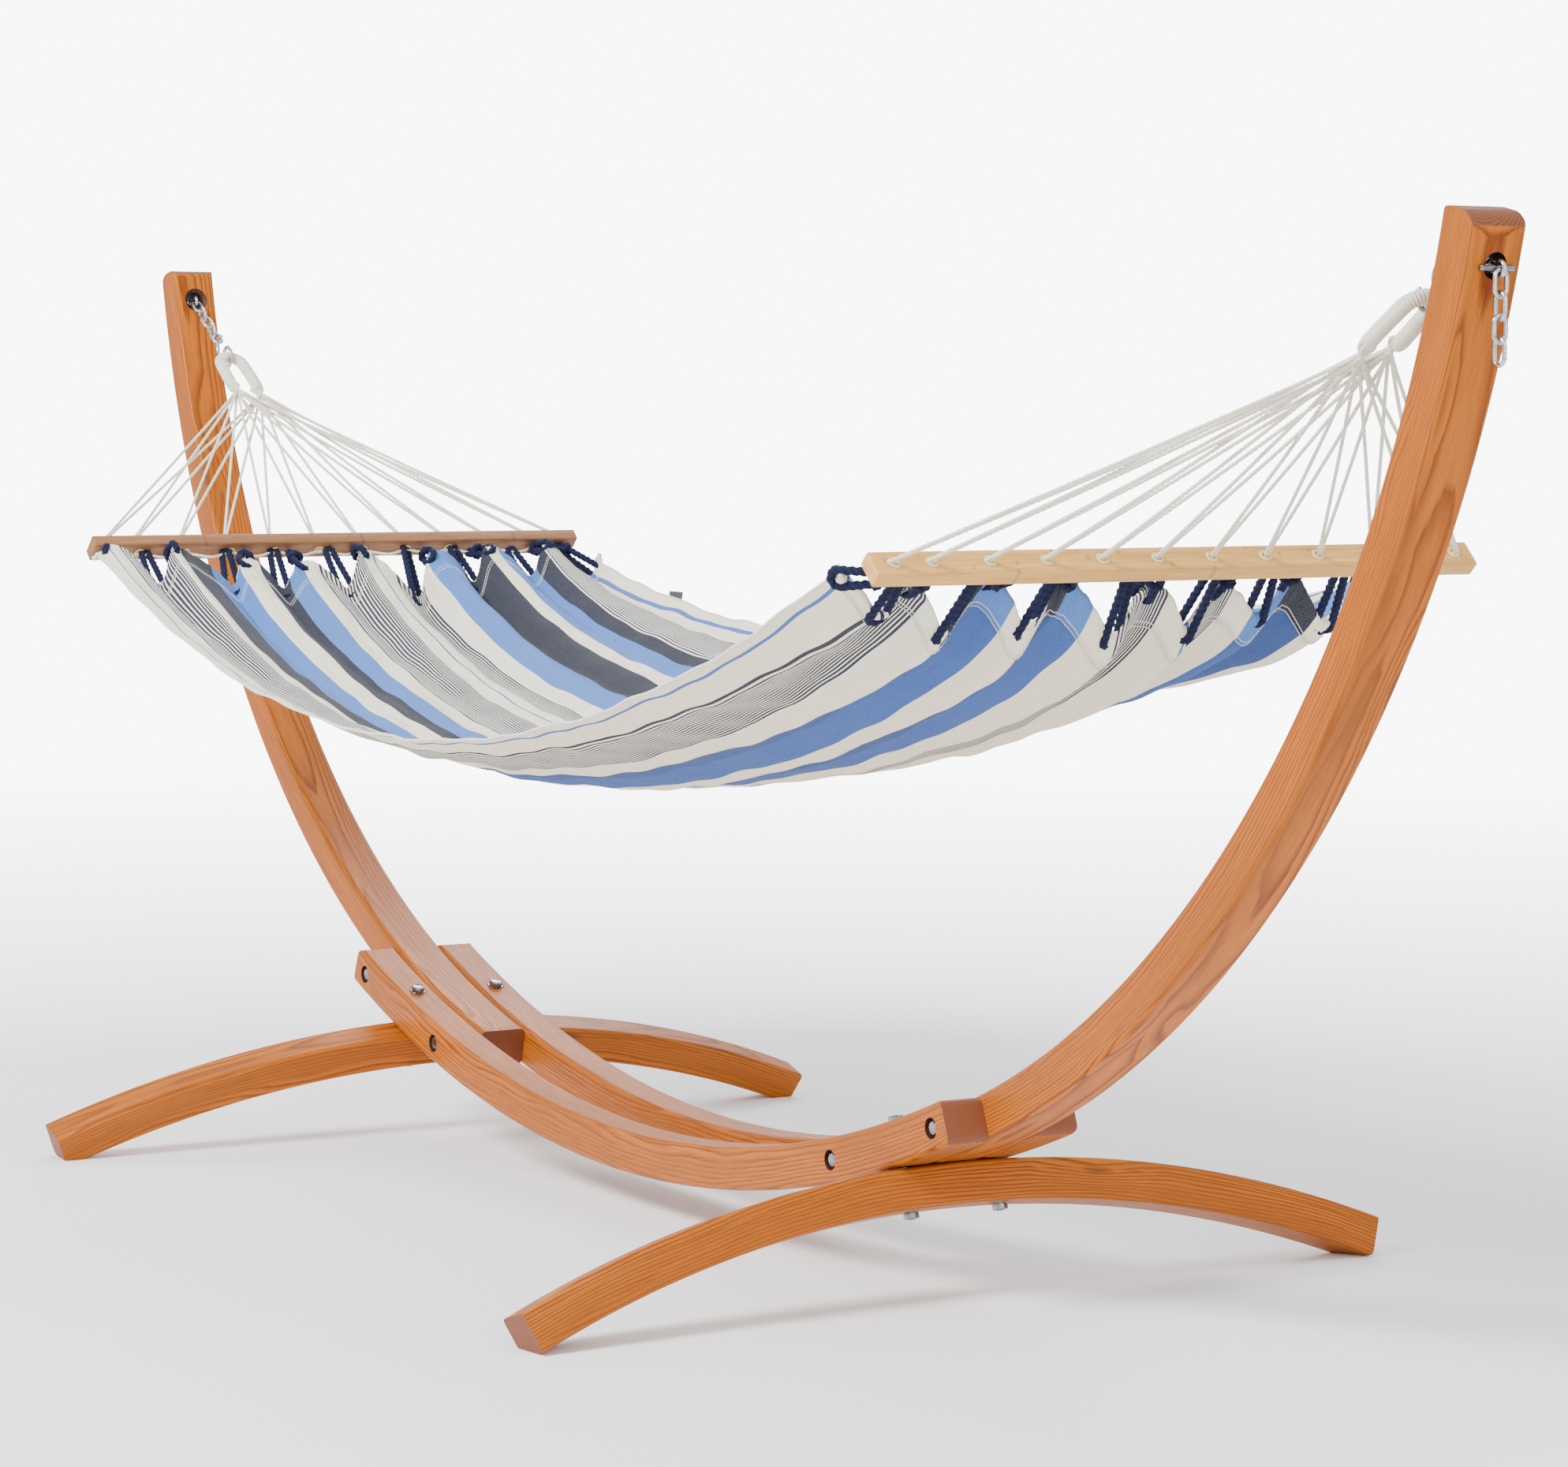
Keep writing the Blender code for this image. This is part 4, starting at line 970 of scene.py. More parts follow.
# ---- chains, pins and hooks ----
HALF_LINK = LINK_INNER_LENGTH / 2 + WIRE_RADIUS
LINK_PITCH = LINK_INNER_LENGTH + LINK_SEAT
PIN_OFFSET = BEAM_DEPTH / 2 + GAP + STOP_PIN_RADIUS
OUTER_CROWN = PIN_OFFSET + STOP_PIN_RADIUS + 2 * JOINT_PLAY + 2 * WIRE_RADIUS
INNER_CROWN = OUTER_CROWN - ANCHORED_LINKS * LINK_PITCH + LINK_SEAT


def add_link(shape, centre, along, across):
    """One welded oval link, with its weld bead on one straight side."""
    bends = []
    for sign in (1, -1):
        bend = centre + along * (sign * (HALF_LINK - LINK_HALF_WIDTH))
        angles = spread(-90 * sign, 180 - 90 * sign, 15)
        bends.append(arc(bend, along, across, LINK_HALF_WIDTH, angles))
    path = resampled(np.vstack(bends), 0.0011, True)
    offset = path - np.array(centre)
    weld = np.exp(-((offset @ np.array(along)) / 0.0011) ** 2) * (offset @ np.array(across) > 0)
    sweep(shape, path, WIRE_RADIUS, 14, True, taper=1 + 0.10 * weld)


def make_chain(name, first, along, pair, count, body, node):
    """A run of links, each a quarter turn from the last."""
    shape = Shape()
    for i in range(count):
        add_link(shape, first + along * (LINK_PITCH * i), along, pair[i % 2])
    piece(name, shape, ZINC, body, [node], 40)


def bore_frame(side):
    """Middle of the chain's line in the bore, the way out of the bore and across it."""
    along, out = along_and_out(ARM_BORE_ANGLE, side)
    middle = flipped(on_arc(ARM_CENTRE, ARM_RADIUS, ARM_BORE_ANGLE), side)
    return middle - along * CHAIN_SAG_IN_BORE, out, along


def hang_way(side):
    """The taut line from the bore down to the spreader bar."""
    a = math.radians(HANG_ANGLE)
    return flipped((-math.cos(a), 0, -math.sin(a)), side)


def hook_start(side):
    """Where the hanging chain turns in the anchored chain's inner crown."""
    middle, out, _ = bore_frame(side)
    crown = middle + out * (INNER_CROWN - WIRE_RADIUS + LINK_HALF_WIDTH)
    return crown + hang_way(side) * (LINK_HALF_WIDTH - 2 * WIRE_RADIUS - SWING_PLAY)


def hook_centres(side):
    """Centres of the S-hook's upper and lower rounds."""
    way = hang_way(side)
    reach = (INNER_LINKS[side] - 1) * LINK_PITCH + 2 * HALF_LINK
    upper = hook_start(side) + way * (reach - WIRE_RADIUS - HOOK_WIRE_RADIUS - GAP + HOOK_RADIUS)
    return upper, upper + way * (2 * HOOK_RADIUS)


def make_hardware(side):
    """The anchored chain, stop pin, loose tail, hanging chain and S-hook of one end."""
    middle, out, across = bore_frame(side)
    first = middle + out * (OUTER_CROWN - LINK_INNER_LENGTH / 2)
    pair = (across, Y_WAY)
    make_chain(f"anchor_links_{side}", first, -out, pair, ANCHORED_LINKS, "stand", f"chain_anchor_{side}")
    half, eased = STOP_PIN_LENGTH / 2, STOP_PIN_LENGTH / 2 - 0.0012
    pin = [(0.0018, -half), (STOP_PIN_RADIUS, -eased), (STOP_PIN_RADIUS, eased), (0.0018, half)]
    steel(f"pin_{side}", pin, middle + out * PIN_OFFSET, Y_WAY, 28, None, f"stop_pin_{side}")
    down = Vector((0, 0, -1))
    hang = middle + out * (PIN_OFFSET + STOP_PIN_RADIUS + JOINT_PLAY + WIRE_RADIUS) + down * HALF_LINK
    pair = (Y_WAY, Vector((1, 0, 0)))
    make_chain(f"tail_links_{side}", hang, down, pair, TAIL_LINKS, f"tail_{side}", f"chain_tail_{side}")
    way = hang_way(side)
    normal = Y_WAY.cross(way).normalized()
    start = hook_start(side) + way * HALF_LINK
    pair = (Y_WAY, normal)
    make_chain(f"hanging_links_{side}", start, way, pair, INNER_LINKS[side], "hangers", f"chain_{side}")
    upper, lower = hook_centres(side)
    rounds = [
        arc(upper, -way, normal, HOOK_RADIUS, spread(180 - HOOK_TURN, 180, 8)),
        arc(lower, -way, normal, HOOK_RADIUS, spread(-20, -HOOK_TURN, 8)),
    ]
    path = resampled(np.vstack(rounds), 0.0012)
    shape = Shape()
    blunt = np.sqrt(np.clip((from_ends(path) + 0.6) / 3, 0.2, 1))
    sweep(shape, path, HOOK_WIRE_RADIUS, 18, taper=blunt)
    piece(f"hook_{side}", shape, ZINC, "hangers", [f"s_hook_{side}"], 40)


for side in SIDES:
    make_hardware(side)


# ---- rope loops, suspension cords and spreader bars ----
def loop_crown(side):
    """Centre of the rope where the loop hangs in the S-hook."""
    drop = HOOK_RADIUS - HOOK_WIRE_RADIUS - LOOP_ROPE_RADIUS - LOOP_PLAY
    return hook_centres(side)[1] + hang_way(side) * drop


def bar_centre(side):
    """Middle of the spreader bar, from its CAD node."""
    low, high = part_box(f"spreader_bar_{side}")
    return (low + high) / 2


def bar_axes(side):
    """The holes' direction, up and outward, and the direction across the bar's broad face."""
    a = math.radians(BAR_TILT)
    normal = flipped((math.cos(a), 0, math.sin(a)), side)
    return normal, Y_WAY.cross(normal).normalized()


def hole_places():
    """Y of each hole: an even pitch, with the two outermost closer."""
    pitch = (BAR_LENGTH - 2 * BAR_HOLE_MARGIN) / (BAR_HOLES - 3 + 2 * BAR_END_PITCH_SHARE)
    edge = BAR_LENGTH / 2 - BAR_HOLE_MARGIN
    return [-edge, *[pitch * (i - (BAR_HOLES - 3) / 2) for i in range(BAR_HOLES - 2)], edge]


WHIPPED_SHARE = 0.90


def make_loop(side):
    """The rope loop, whipped with thin cord from end to end."""
    way, crown = hang_way(side), loop_crown(side)
    foot = crown + way * (LOOP_LENGTH - 0.001)
    waist = crown + way * (0.55 * LOOP_LENGTH)
    wide = Y_WAY * (LOOP_HALF_WIDTH + 0.0017)
    bend = arc(crown + way * LOOP_HALF_WIDTH, -Y_WAY, -way, LOOP_HALF_WIDTH, spread(0, 180, 22.5))
    foot_spread = Y_WAY * LOOP_LEG_SPREAD
    points = np.vstack([foot - foot_spread, waist - wide, bend, waist + wide, foot + foot_spread])
    path = resampled(smooth_path(points), 0.0006)
    shape = Shape()
    taper = 0.74 + 0.26 * np.clip(from_ends(path) / 14, 0, 1) ** 0.6
    radius = LOOP_ROPE_RADIUS * WHIPPED_SHARE
    sweep(shape, path, radius, 20, lobes=1, depth=0.075, pitch=0.0030, taper=taper)
    piece(f"whipped_loop_{side}", shape, COTTON, "hammock", [f"rope_loop_{side}"], 80)


GOLDEN_TURN = 2.399963


def make_fan(side):
    """The suspension cords: two from each bar hole, one to each leg of the loop."""
    way = hang_way(side)
    layer = Y_WAY.cross(way).normalized()
    legs = loop_crown(side) + way * (LOOP_LENGTH - 0.012)
    centre, normal = bar_centre(side), bar_axes(side)[0]
    face = normal * (BAR_THICKNESS / 2)
    shape = Shape()
    for leg in (-1, 1):
        for index, y in enumerate(hole_places()):
            share = 2 * index / (BAR_HOLES - 1) - 1
            spot = Y_WAY * (0.0045 * share) + layer * (0.0030 * math.sin(GOLDEN_TURN * index))
            shift = layer * (FAN_LAYER_OFFSET * 0.5 * leg)
            start = legs + Y_WAY * (leg * LOOP_LEG_SPREAD) + spot + shift
            neck = start + way * 0.026 + shift
            hole = centre + Y_WAY * (y + leg * 0.0014)
            top = centre + Y_WAY * (y + leg * 0.0012) + face + normal * 0.0060
            middle = neck.lerp(top, 0.5) - Vector((0, 0, 0.0015))
            path = smooth_path([start, neck, middle, top, hole + face, hole - face - normal * STEM_SINK])
            strands(shape, resampled(path, 0.0028), CORD_RADIUS, 9, 0.17, 0.021)
    piece(f"twisted_cords_{side}", shape, COTTON, "hammock", [f"suspension_cords_{side}"], 80)


def make_bar(side):
    """A laminated bamboo spreader bar with eased edges, drilled for the cords."""
    centre, (normal, broad) = bar_centre(side), bar_axes(side)
    block = bmesh.new()
    bmesh.ops.create_cube(block, size=1, matrix=Matrix.Diagonal((BAR_BREADTH, BAR_LENGTH, BAR_THICKNESS, 1)))
    bmesh.ops.bevel(block, geom=block.edges[:], offset=0.0024, segments=3, profile=0.5, affect="EDGES")
    through = Vector((0, 0, 1))
    cutters = [rod(Y_WAY * y, through, BAR_HOLE_RADIUS, 3 * BAR_THICKNESS, 28) for y in hole_places()]
    obj = carved(f"bamboo_bar_{side}", mesh_of(block, "bar"), cutters, 0.0004)
    mesh = obj.data
    store(mesh, "grain", [(v.co.y, v.co.x, v.co.z) for v in mesh.vertices])
    mesh.materials.clear()
    mesh.materials.append(BAMBOO[side])
    place = Matrix((broad, Y_WAY, broad.cross(Y_WAY))).transposed().to_4x4()
    place.translation = centre
    mesh.transform(place)
    settle(obj, "hammock", [f"spreader_bar_{side}"], 30)


def make_eyelets(side):
    """Pale plastic eyelets pressed into both ends of each hole."""
    centre, normal = bar_centre(side), bar_axes(side)[0]
    shape = Shape()
    inner, outer = BAR_HOLE_RADIUS - 0.0006, BAR_HOLE_RADIUS - 0.0001
    ring = [
        (inner, -0.004), (outer, -0.004), (outer, 0.0001), (0.0076, 0.0001), (0.0080, 0.0006),
        (0.0072, 0.0013), (0.0058, 0.0019), (0.0046, 0.0018), (inner, 0.0009), (inner, -0.004),
    ]
    for y in hole_places():
        for sign in (1, -1):
            face = centre + Y_WAY * y + normal * (sign * BAR_THICKNESS / 2)
            turned(shape, ring, face, normal * sign, 28)
    piece(f"eyelets_{side}", shape, EYELET, "hammock", (), 50)


for side in SIDES:
    make_loop(side)
    make_fan(side)
    make_bar(side)
    make_eyelets(side)


# ---- the cloth ----
HUMPS = 8
HEM_BEAD_RADIUS = 0.0055
HEM_DEPTH = 0.038
COLUMNS = 320
COLUMN_NUMBERS = np.arange(COLUMNS + 1)
HALF_ROWS = 84
HUMP_HEIGHT = 0.027
HUMP_LIFT = {"left": 0.022, "right": 0.014}
HUMP_SHIFT = {"left": 0.16, "right": 0.62}
# Long folds: how many across the cloth, height, drift along it and phase.
LONG_FOLDS = ((3.0, 0.0045, 0.25, 0.4), (5.0, 0.0030, -0.35, 2.0), (9.0, 0.0014, 0.2, 1.1))
# Wrinkles: waves along, waves across and phase.
WRINKLES = ((7, 3, 0.2), (11, -5, 1.7), (17, 8, 3.3), (23, -13, 0.9), (5, 15, 2.4))
WRINKLE_HEIGHT = 0.0011


def hem_centre(side):
    """Middle of the hem's line between the cloth's corners."""
    return bar_centre(side) + Vector((-SIDES[side] * HEM_INSET, 0, -HEM_DROP))


def smooth_cloth(s, t):
    """The bed's even surface: s runs from left to right and t from front to back, each from -1 to 1."""
    inset = HEM_ROPE_RADIUS + CLOTH_THICKNESS / 2 + GAP
    left = np.array(hem_centre("left")) + (inset, 0, 0)
    right = np.array(hem_centre("right")) - (inset, 0, 0)
    place = left + (right - left) * ((s + 1) / 2)[..., None]
    sag = np.clip(1 - s * s, 0, 1)
    width = CLOTH_END_WIDTH + (CLOTH_MIDDLE_WIDTH - CLOTH_END_WIDTH) * sag
    rim = (RIM_SAG_FRONT + (RIM_SAG_BACK - RIM_SAG_FRONT) * (t + 1) / 2) * sag * (1 + RIM_LEAN * s)
    belly = END_BELLY + BELLY_DROP * sag**BELLY_FULLNESS * (1 + BELLY_LEAN * s)
    return np.stack([place[..., 0], width / 2 * t, place[..., 2] - rim - belly * (1 - t * t)], -1)


def gathers(w, side):
    """Shape of the gathered hem across the width: 1 on a hump, -1 in a pinched valley."""
    seed = 1.3 if side == "left" else 4.1
    wander = 0.010 * np.sin(2 * np.pi * 2.3 * w + seed) + 0.006 * np.sin(2 * np.pi * 5.1 * w + 2 * seed)
    arch = np.sqrt(np.sin(np.pi * (HUMPS * (w + wander) + HUMP_SHIFT[side])) ** 2 + 0.045)
    size = 1 + 0.22 * np.sin(2 * np.pi * 1.7 * w + seed)
    return (1 - 2 * (np.clip(1 - arch, 0, 1) / 0.79) ** 1.45) * size


def cloth_rows():
    """Rows of the bed from the left hem to the right hem: points with shape (rows, columns, 3)."""
    x = np.linspace(-1, 1, 2 * HALF_ROWS + 1)
    s = 0.5 * x + 0.5 * np.sin(np.pi * x / 2)
    w = np.linspace(0, 1, COLUMNS + 1)
    s, w = np.meshgrid(s, w, indexing="ij")
    points = smooth_cloth(s, 2 * w - 1)
    span = hem_centre("right").x - hem_centre("left").x
    edge_ease = np.clip(np.minimum(w, 1 - w) / 0.02, 0, 1) ** 0.5
    for side, sign in SIDES.items():
        reach = (1 - sign * s) / 2 * span
        wave = gathers(w, side)
        fade = 0.68 * np.exp(-((reach / 0.17) ** 1.2)) + 0.32 * np.exp(-reach / 0.65)
        points[..., 2] += fade * (HUMP_HEIGHT * wave + HUMP_LIFT[side] * (1 - (2 * w - 1) ** 4))
        points[..., 0] += sign * 0.010 * wave * np.exp(-reach / 0.05)
        lean = np.sin(2 * np.pi * (HUMPS * w + HUMP_SHIFT[side]) + 0.9)
        points[..., 1] += 0.009 * lean * np.exp(-reach / 0.22) * edge_ease
        pucker = np.sin(2 * np.pi * 47 * w + 5 * np.sin(2 * np.pi * 3 * w))
        pucker *= 0.5 + 0.5 * np.sin(2 * np.pi * 11 * w + 1)
        points[..., 2] += 0.0012 * pucker * np.exp(-reach / 0.028) * edge_ease
    near_ends = (0.35 + 0.65 * s * s) * edge_ease
    for folds, height, drift, phase in LONG_FOLDS:
        points[..., 2] += height * np.sin(2 * np.pi * (folds * w + drift * s) + phase) * near_ends
    warp = 2 * np.sin(7 * w + 3 * s)
    for k, (a, b, phase) in enumerate(WRINKLES):
        height = WRINKLE_HEIGHT / (1 + 0.25 * k)
        points[..., 2] += height * np.sin(2 * np.pi * (a * s / 2 + b * w) + phase + warp)
    return points


def normals_of(points):
    """Upward unit normals of a grid of points."""
    along = np.gradient(points, axis=0)
    across = np.gradient(points, axis=1)
    normal = np.cross(along, across)
    return normal / np.linalg.norm(normal, axis=-1)[..., None]


ROWS = cloth_rows()
NORMALS = normals_of(ROWS)
STEPS = distances(ROWS)
BED_LENGTH = STEPS[-1]


def hem_frame(side):
    """Rope centre line of a hem, the way out toward the bar and the cloth's normal there."""
    end = 0 if side == "left" else -1
    inner = 2 if side == "left" else -3
    out = ROWS[end] - ROWS[inner]
    out /= np.linalg.norm(out, axis=-1)[:, None]
    normal = NORMALS[end]
    normal = normal - out * (normal * out).sum(-1)[:, None]
    normal /= np.linalg.norm(normal, axis=-1)[:, None]
    return ROWS[end] - normal * HEM_BEAD_RADIUS, out, normal


def hem_rows(side):
    """Rows that roll round the hem rope and run back under the cloth, outward from the bed."""
    centre, out, normal = hem_frame(side)
    w = np.linspace(0, 1, COLUMNS + 1)
    ripple = np.sin(2 * np.pi * 83 * w + 4 * np.sin(2 * np.pi * 4 * w))
    ridges = HEM_BEAD_RADIUS * (1 + 0.10 * ripple)[:, None]
    rows = []
    for step in range(1, 9):
        a = math.radians(90 - 180 * step / 8)
        rows.append(centre + ridges * (math.cos(a) * out + math.sin(a) * normal))
    order = range(1, 2 * HALF_ROWS) if side == "left" else range(2 * HALF_ROWS - 1, 0, -1)
    for i in order:
        away = STEPS[i] if side == "left" else BED_LENGTH - STEPS[i]
        if away > HEM_DEPTH:
            break
        gap = 0.0021 + (2 * HEM_BEAD_RADIUS - 0.0021) * max(0.0, 1 - away / 0.020) ** 2
        rows.append(ROWS[i] - NORMALS[i] * gap)
    return rows


def on_cloth(side, away, w):
    """Point and normal of the cloth at a distance from a hem."""
    place = away if side == "left" else BED_LENGTH - away
    row = np.interp(place, STEPS, np.arange(len(STEPS)))
    low = min(int(row), len(STEPS) - 2)
    part = row - low
    lines = [grid[low] * (1 - part) + grid[low + 1] * part for grid in (ROWS, NORMALS)]
    return [looked_up(w * COLUMNS, COLUMN_NUMBERS, line) for line in lines]


def make_cloth():
    """The striped bed as one continuous sheet with its end hems."""
    grid = np.array([*hem_rows("left")[::-1], *ROWS, *hem_rows("right")])
    rows, columns = grid.shape[:2]
    run = distances(grid)
    faces = []
    for i in range(rows - 1):
        a = i * columns
        faces.extend((a + j, a + columns + j, a + columns + j + 1, a + j + 1) for j in range(columns - 1))
    shape = Shape().add(grid.reshape(-1, 3), faces)
    top = striped_cotton("striped_cotton_top", TOP_COLOURS)
    obj = piece("striped_bed", shape, top, "hammock", ["fabric_bed"], 180)
    obj.data.materials.append(striped_cotton("striped_cotton_under", UNDER_COLOURS))
    uv = obj.data.uv_layers.new(name="flat")
    across = np.linspace(0, CLOTH_FLAT_WIDTH, columns)
    flat = np.stack(np.meshgrid(run, across, indexing="ij"), -1).reshape(-1, 2)
    corner_points = np.zeros(len(obj.data.loops), np.int32)
    obj.data.loops.foreach_get("vertex_index", corner_points)
    uv.data.foreach_set("uv", flat[corner_points].astype(np.float32).ravel())
    thick = obj.modifiers.new("thickness", "SOLIDIFY")
    thick.thickness = 0.0012
    thick.offset = 0
    thick.material_offset = 1
    return obj, run[-1]


BED, FLAT_LENGTH = make_cloth()


def make_hem_cord(side):
    """The rope in the hem, which shows at its two ends."""
    centre, _, _ = hem_frame(side)
    middle = centre[::4]
    ends = []
    for end, inner in ((middle[0], middle[2]), (middle[-1], middle[-3])):
        ends.append(end + (end - inner) / np.linalg.norm(end - inner) * 0.007)
    path = resampled(smooth_path(np.vstack([ends[0], middle, ends[1]]), per=4), 0.003)
    shape = Shape()
    strands(shape, path, 0.0036, 12, 0.15, 0.024)
    return piece(f"hem_cord_{side}", shape, COTTON, "hammock", [f"hem_rope_{side}"], 80)


STITCH_PITCH = 0.0050


def make_stitching(side):
    """Two rows of stitches along the hem, with a thread on each face of the cloth."""
    shape = Shape()
    for away in (HEM_DEPTH - 0.008, HEM_DEPTH - 0.002):
        w = np.linspace(0.004, 0.996, 1500)
        points, normals = on_cloth(side, away, w)
        dip = np.cos(2 * np.pi * distances(points) / STITCH_PITCH)
        for face, level in ((1, 0.0007), (-1, 0.0031)):
            lift = level + 0.0006 * np.clip(dip * 1.8 + 0.6, -1, 0.35)
            path = points + normals * (face * lift)[:, None]
            sweep(shape, path, 0.00055, 5)
    return piece(f"hem_stitches_{side}", shape, THREAD, "hammock", (), 80)


def make_selvedge(name, column):
    """The narrow rolled hem along one long edge of the cloth."""
    path = resampled(ROWS[:, column], 0.004)
    shape = Shape()
    sweep(shape, path, 0.0016, 8)
    return piece(name, shape, THREAD, "hammock", (), 80)


def zigzag_points(side):
    """The thin cord's corners: under each hole, and between holes a little nearer the hem."""
    centre, normal = bar_centre(side), bar_axes(side)[0]
    under = centre - normal * (BAR_THICKNESS / 2 + STEM_SINK + 0.0008)
    places = hole_places()
    points = [under + Y_WAY * places[0]]
    for y, following in zip(places, places[1:]):
        middle = Y_WAY * ((y + following) / 2)
        target = hem_centre(side) + middle
        points.append(under + middle + (target - under - middle).normalized() * LACING_DROP * 1.2)
        points.append(under + Y_WAY * following)
    return np.array(points)


def make_zigzag(side, corners):
    """The thin white cord that zigzags under the bar."""
    rise = 0.006 * np.array(bar_axes(side)[0])
    path = np.vstack([corners[:1] + rise, corners, corners[-1:] + rise])
    shape = Shape()
    strands(shape, resampled(smooth_path(path, per=6), 0.0025), 0.0019, 9, 0.17, 0.02)
    return piece(f"zigzag_cord_{side}", shape, COTTON, "hammock", (), 80)


def tie_places(side):
    """Where the ties hold the hem: in each valley and on one shoulder of each hump."""
    w = np.linspace(0, 1, 2001)
    shape = gathers(w, side)
    valleys = [w[i] for i in range(1, 2000) if shape[i] < shape[i - 1] and shape[i] <= shape[i + 1]]
    shoulders = [v + 0.42 / HUMPS for v in valleys if v + 0.42 / HUMPS < 0.97]
    return sorted([0.012, *valleys, *shoulders, 0.988])


TIE_STEP, TIE_TWIST = 0.0017, 0.027
TIE_RADIUS, KNOT_RADIUS = 0.0047, 0.0044
TIE_LOW_RADIUS, TIE_HIGH_RADIUS = HEM_BEAD_RADIUS + 0.0046, 0.0056


def make_ties(side, corners):
    """Doubled navy cords that hold the hem to the zigzag cord, every second one with a knot."""
    centre, out, _ = hem_frame(side)
    shape = Shape()
    for index, w in enumerate(tie_places(side)):
        hem = looked_up(w * COLUMNS, COLUMN_NUMBERS, centre)
        toward = looked_up(w * COLUMNS, COLUMN_NUMBERS, out)
        wander = 0.010 * math.sin(5.1 * index)
        y = float(np.clip(hem[1] * 0.97 + wander, corners[0][1], corners[-1][1]))
        top = looked_up(y, corners[:, 1], corners)
        way = (top - hem) / np.linalg.norm(top - hem)
        skew = np.array(Y_WAY) * 0.9 * math.sin(2.7 * index + 0.8) + toward
        offset = skew - way * (skew @ way)
        offset /= np.linalg.norm(offset)
        low = arc(hem, -way, offset, TIE_LOW_RADIUS, spread(-90, 90, 22.5))
        high = arc(top, way, offset, TIE_HIGH_RADIUS, spread(90, -90, 22.5))
        path = resampled(smooth_path(np.vstack([low, high]), True, 6), TIE_STEP, True)
        length = len(path) * TIE_STEP
        pitch = length / max(1, round(length / TIE_TWIST))
        strands(shape, path, TIE_RADIUS, 15, 0.15, pitch, True)
        if index % 2 == 0:
            a = np.linspace(0, 2 * math.pi, 15)[:-1, None]
            turn = np.cos(a) * offset * 1.15 + np.sin(a) * np.cross(way, offset) * 0.9
            wrap = top - way * 0.011 + 0.0086 * turn + way * 0.0012 * np.sin(2 * a)
            path = resampled(smooth_path(wrap, True, 5), TIE_STEP, True)
            strands(shape, path, KNOT_RADIUS, 15, 0.15, 0.0276, True)
    return piece(f"navy_ties_{side}", shape, NAVY, "hammock", [f"lacing_{side}"], 80)


def make_label():
    """A blank folded label sewn to the back rim."""
    low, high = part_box("tag")
    centre, size = (low + high) / 2, high - low
    shape = bmesh.new()
    bmesh.ops.create_grid(shape, x_segments=14, y_segments=10, size=0.5)
    for vert in shape.verts:
        x, z = vert.co.x, vert.co.y
        curl = 0.0012 * math.sin(3.4 * x + 0.5) + 0.0016 * (z + 0.5) ** 2
        vert.co = centre + Vector((x * size.x, curl - 0.0006, z * size.z))
    obj = new_object("blank_label", mesh_of(shape, "label"))
    obj.data.materials.append(label_cloth())
    thick = obj.modifiers.new("thickness", "SOLIDIFY")
    thick.thickness = 0.0009
    return settle(obj, "hammock", ["tag"], 180)


ON_CLOTH = [make_label(), make_selvedge("front_selvedge", 0), make_selvedge("back_selvedge", -1)]
HOLDERS = []
for side in SIDES:
    ON_CLOTH += [make_hem_cord(side), make_stitching(side)]
    CORNERS = zigzag_points(side)
    HOLDERS += [make_zigzag(side, CORNERS), make_ties(side, CORNERS)]


# ---- floor, light and camera ----
SKY_LIGHT = 1.25
SKY_SEEN = 9.0
SKY_COLOUR = (0.97, 0.985, 1.0)
FLOOR_FADE = (1.6, 7.0)


def sky_strength(tree):
    """The sky is brighter where the camera sees it than it is as a light."""
    seen = output(tree, "LightPath", None, "Is Camera Ray")
    return seen * (SKY_SEEN - SKY_LIGHT) + SKY_LIGHT


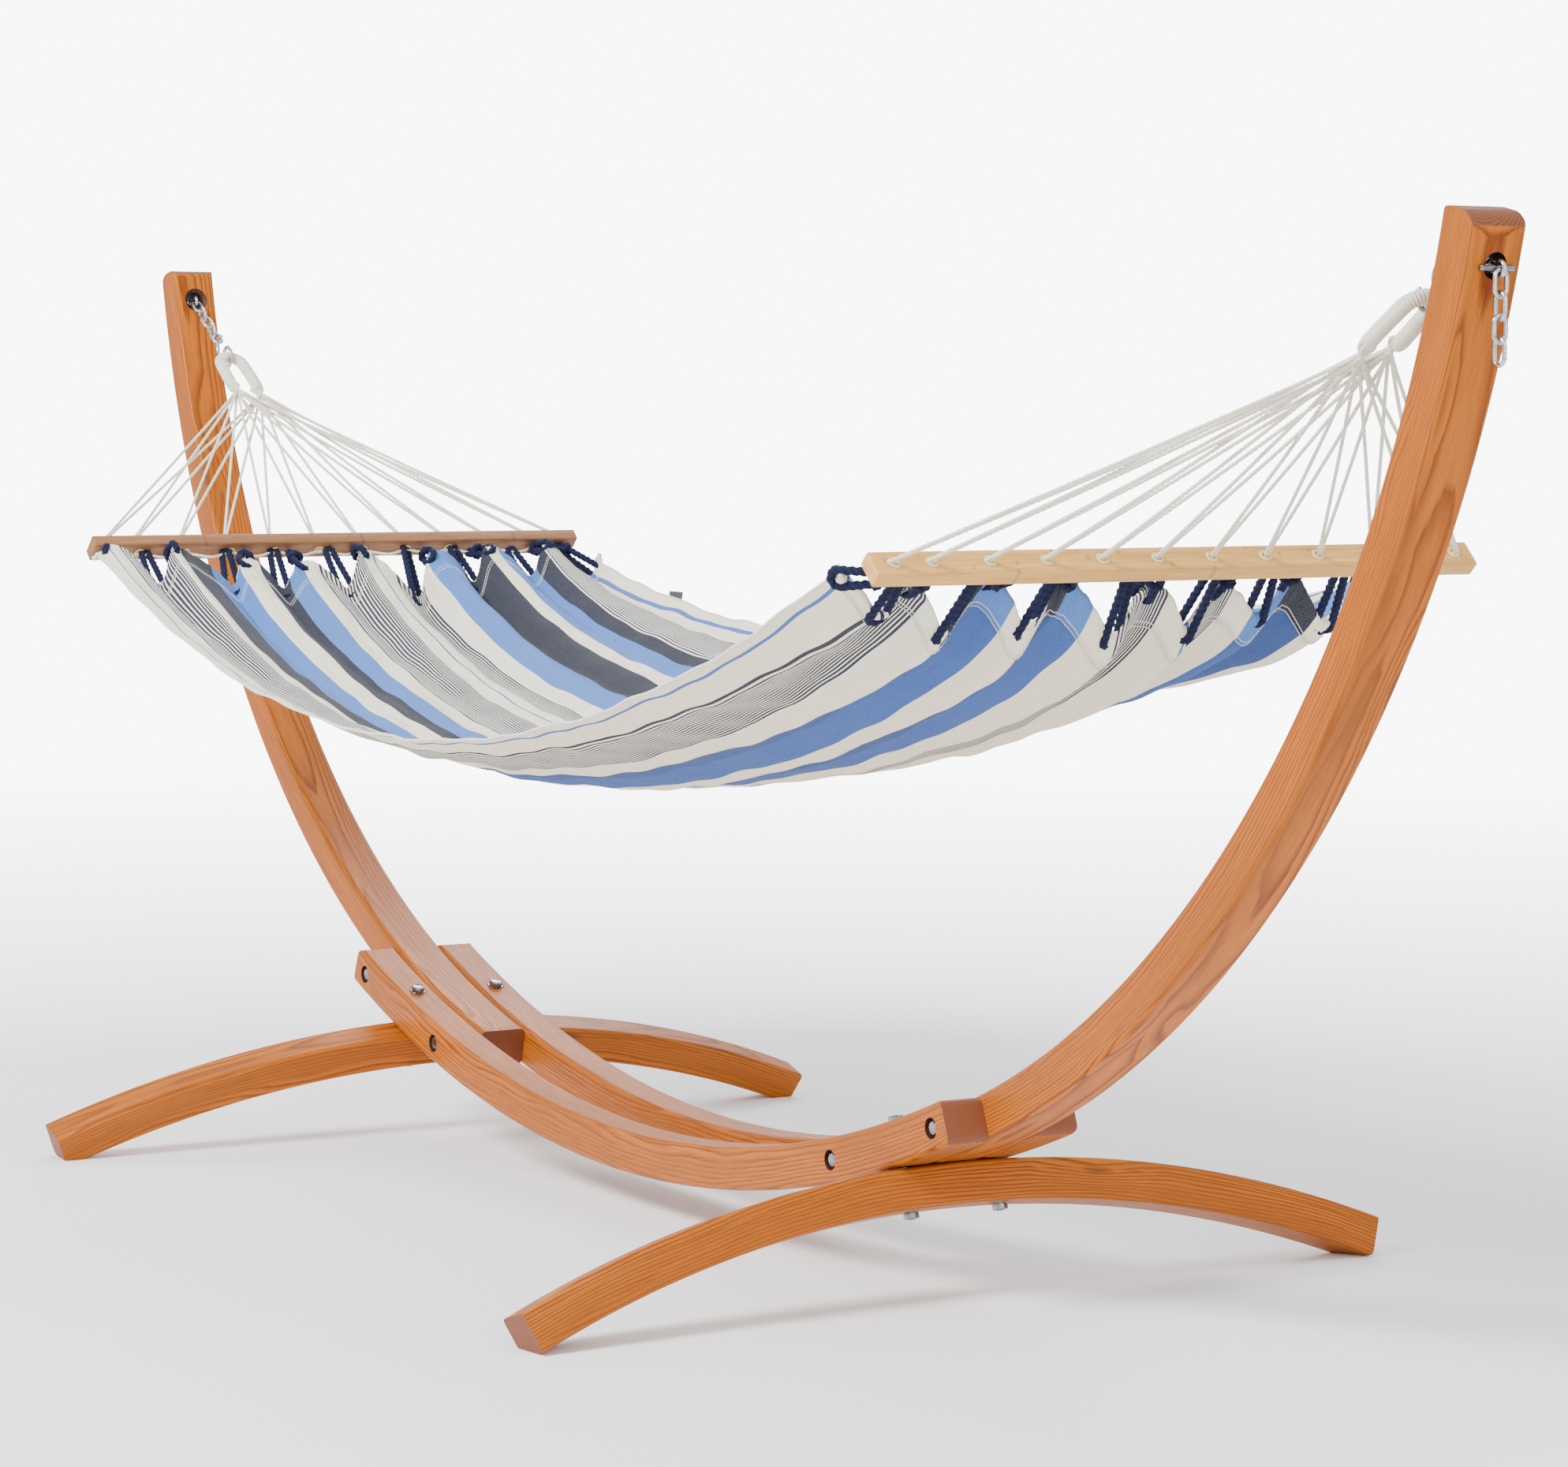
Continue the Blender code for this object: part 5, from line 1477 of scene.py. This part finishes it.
def make_floor():
    """A plain pale floor that fades into the sky."""
    bpy.ops.mesh.primitive_plane_add(size=160, location=(0, 0, -0.0005))
    floor = bpy.context.object
    floor.name = "studio_floor"
    made, tree, shader = new_material("pale_floor", 0.9)
    place = object_place(tree)
    put(shader.inputs["Base Color"], mixed(noise(place, 3.0), (0.93, 0.93, 0.935), (0.96, 0.96, 0.96)))
    away = output(tree, "VectorMath", {0: place}, "Value", operation="LENGTH")
    sky = output(tree, "Emission", {"Color": (*SKY_COLOUR, 1), "Strength": sky_strength(tree)})
    near_to_far = remap(away, *FLOOR_FADE)
    blend = output(tree, "MixShader", {0: near_to_far, 1: Out(shader.outputs[0]), 2: sky})
    put(tree.nodes["Material Output"].inputs["Surface"], blend)
    floor.data.materials.append(made)


def make_light(name, place, target, size, power):
    """A soft area light aimed at a point."""
    data = bpy.data.lights.new(name, "AREA")
    data.shape = "DISK"
    data.size = size
    data.energy = power
    obj = new_object(name, data)
    obj.location = place
    obj.rotation_euler = (Vector(target) - Vector(place)).to_track_quat("-Z", "Y").to_euler()


def make_world():
    """Even, slightly cool light from all round."""
    world = bpy.data.worlds.new("studio")
    world.use_nodes = True
    background = world.node_tree.nodes["Background"]
    put(background.inputs["Color"], (*SKY_COLOUR, 1))
    put(background.inputs["Strength"], sky_strength(world.node_tree))
    bpy.context.scene.world = world


def make_camera():
    """The camera at the photograph's viewing angle."""
    azimuth, down, roll = math.radians(59.43), math.radians(4.455), math.radians(0.30)
    data = bpy.data.cameras.new("camera")
    data.sensor_width = 36.0
    data.lens = 101.64
    data.clip_end = 100
    camera = new_object("camera", data)
    level = Vector((math.cos(azimuth), math.sin(azimuth), 0))
    ahead = Vector((-math.sin(azimuth), math.cos(azimuth), 0))
    forward = ahead * math.cos(down) - Vector((0, 0, math.sin(down)))
    up = level.cross(forward)
    right = level * math.cos(roll) + up * math.sin(roll)
    top = up * math.cos(roll) - level * math.sin(roll)
    matrix = Matrix((right, top, -forward)).transposed().to_4x4()
    matrix.translation = Vector((5.1347, -2.8673, 1.0912))
    camera.matrix_world = matrix
    bpy.context.scene.camera = camera


make_floor()
make_world()
make_light("key", (0.6, -4.4, 4.4), (0, 0, 0.6), 2.2, 540)
make_light("fill", (5.5, -0.5, 2.2), (0.3, 0, 0.6), 3.0, 90)
make_light("rim", (-3.5, 2.5, 3.5), (-0.5, 0, 0.7), 2.5, 150)
make_camera()
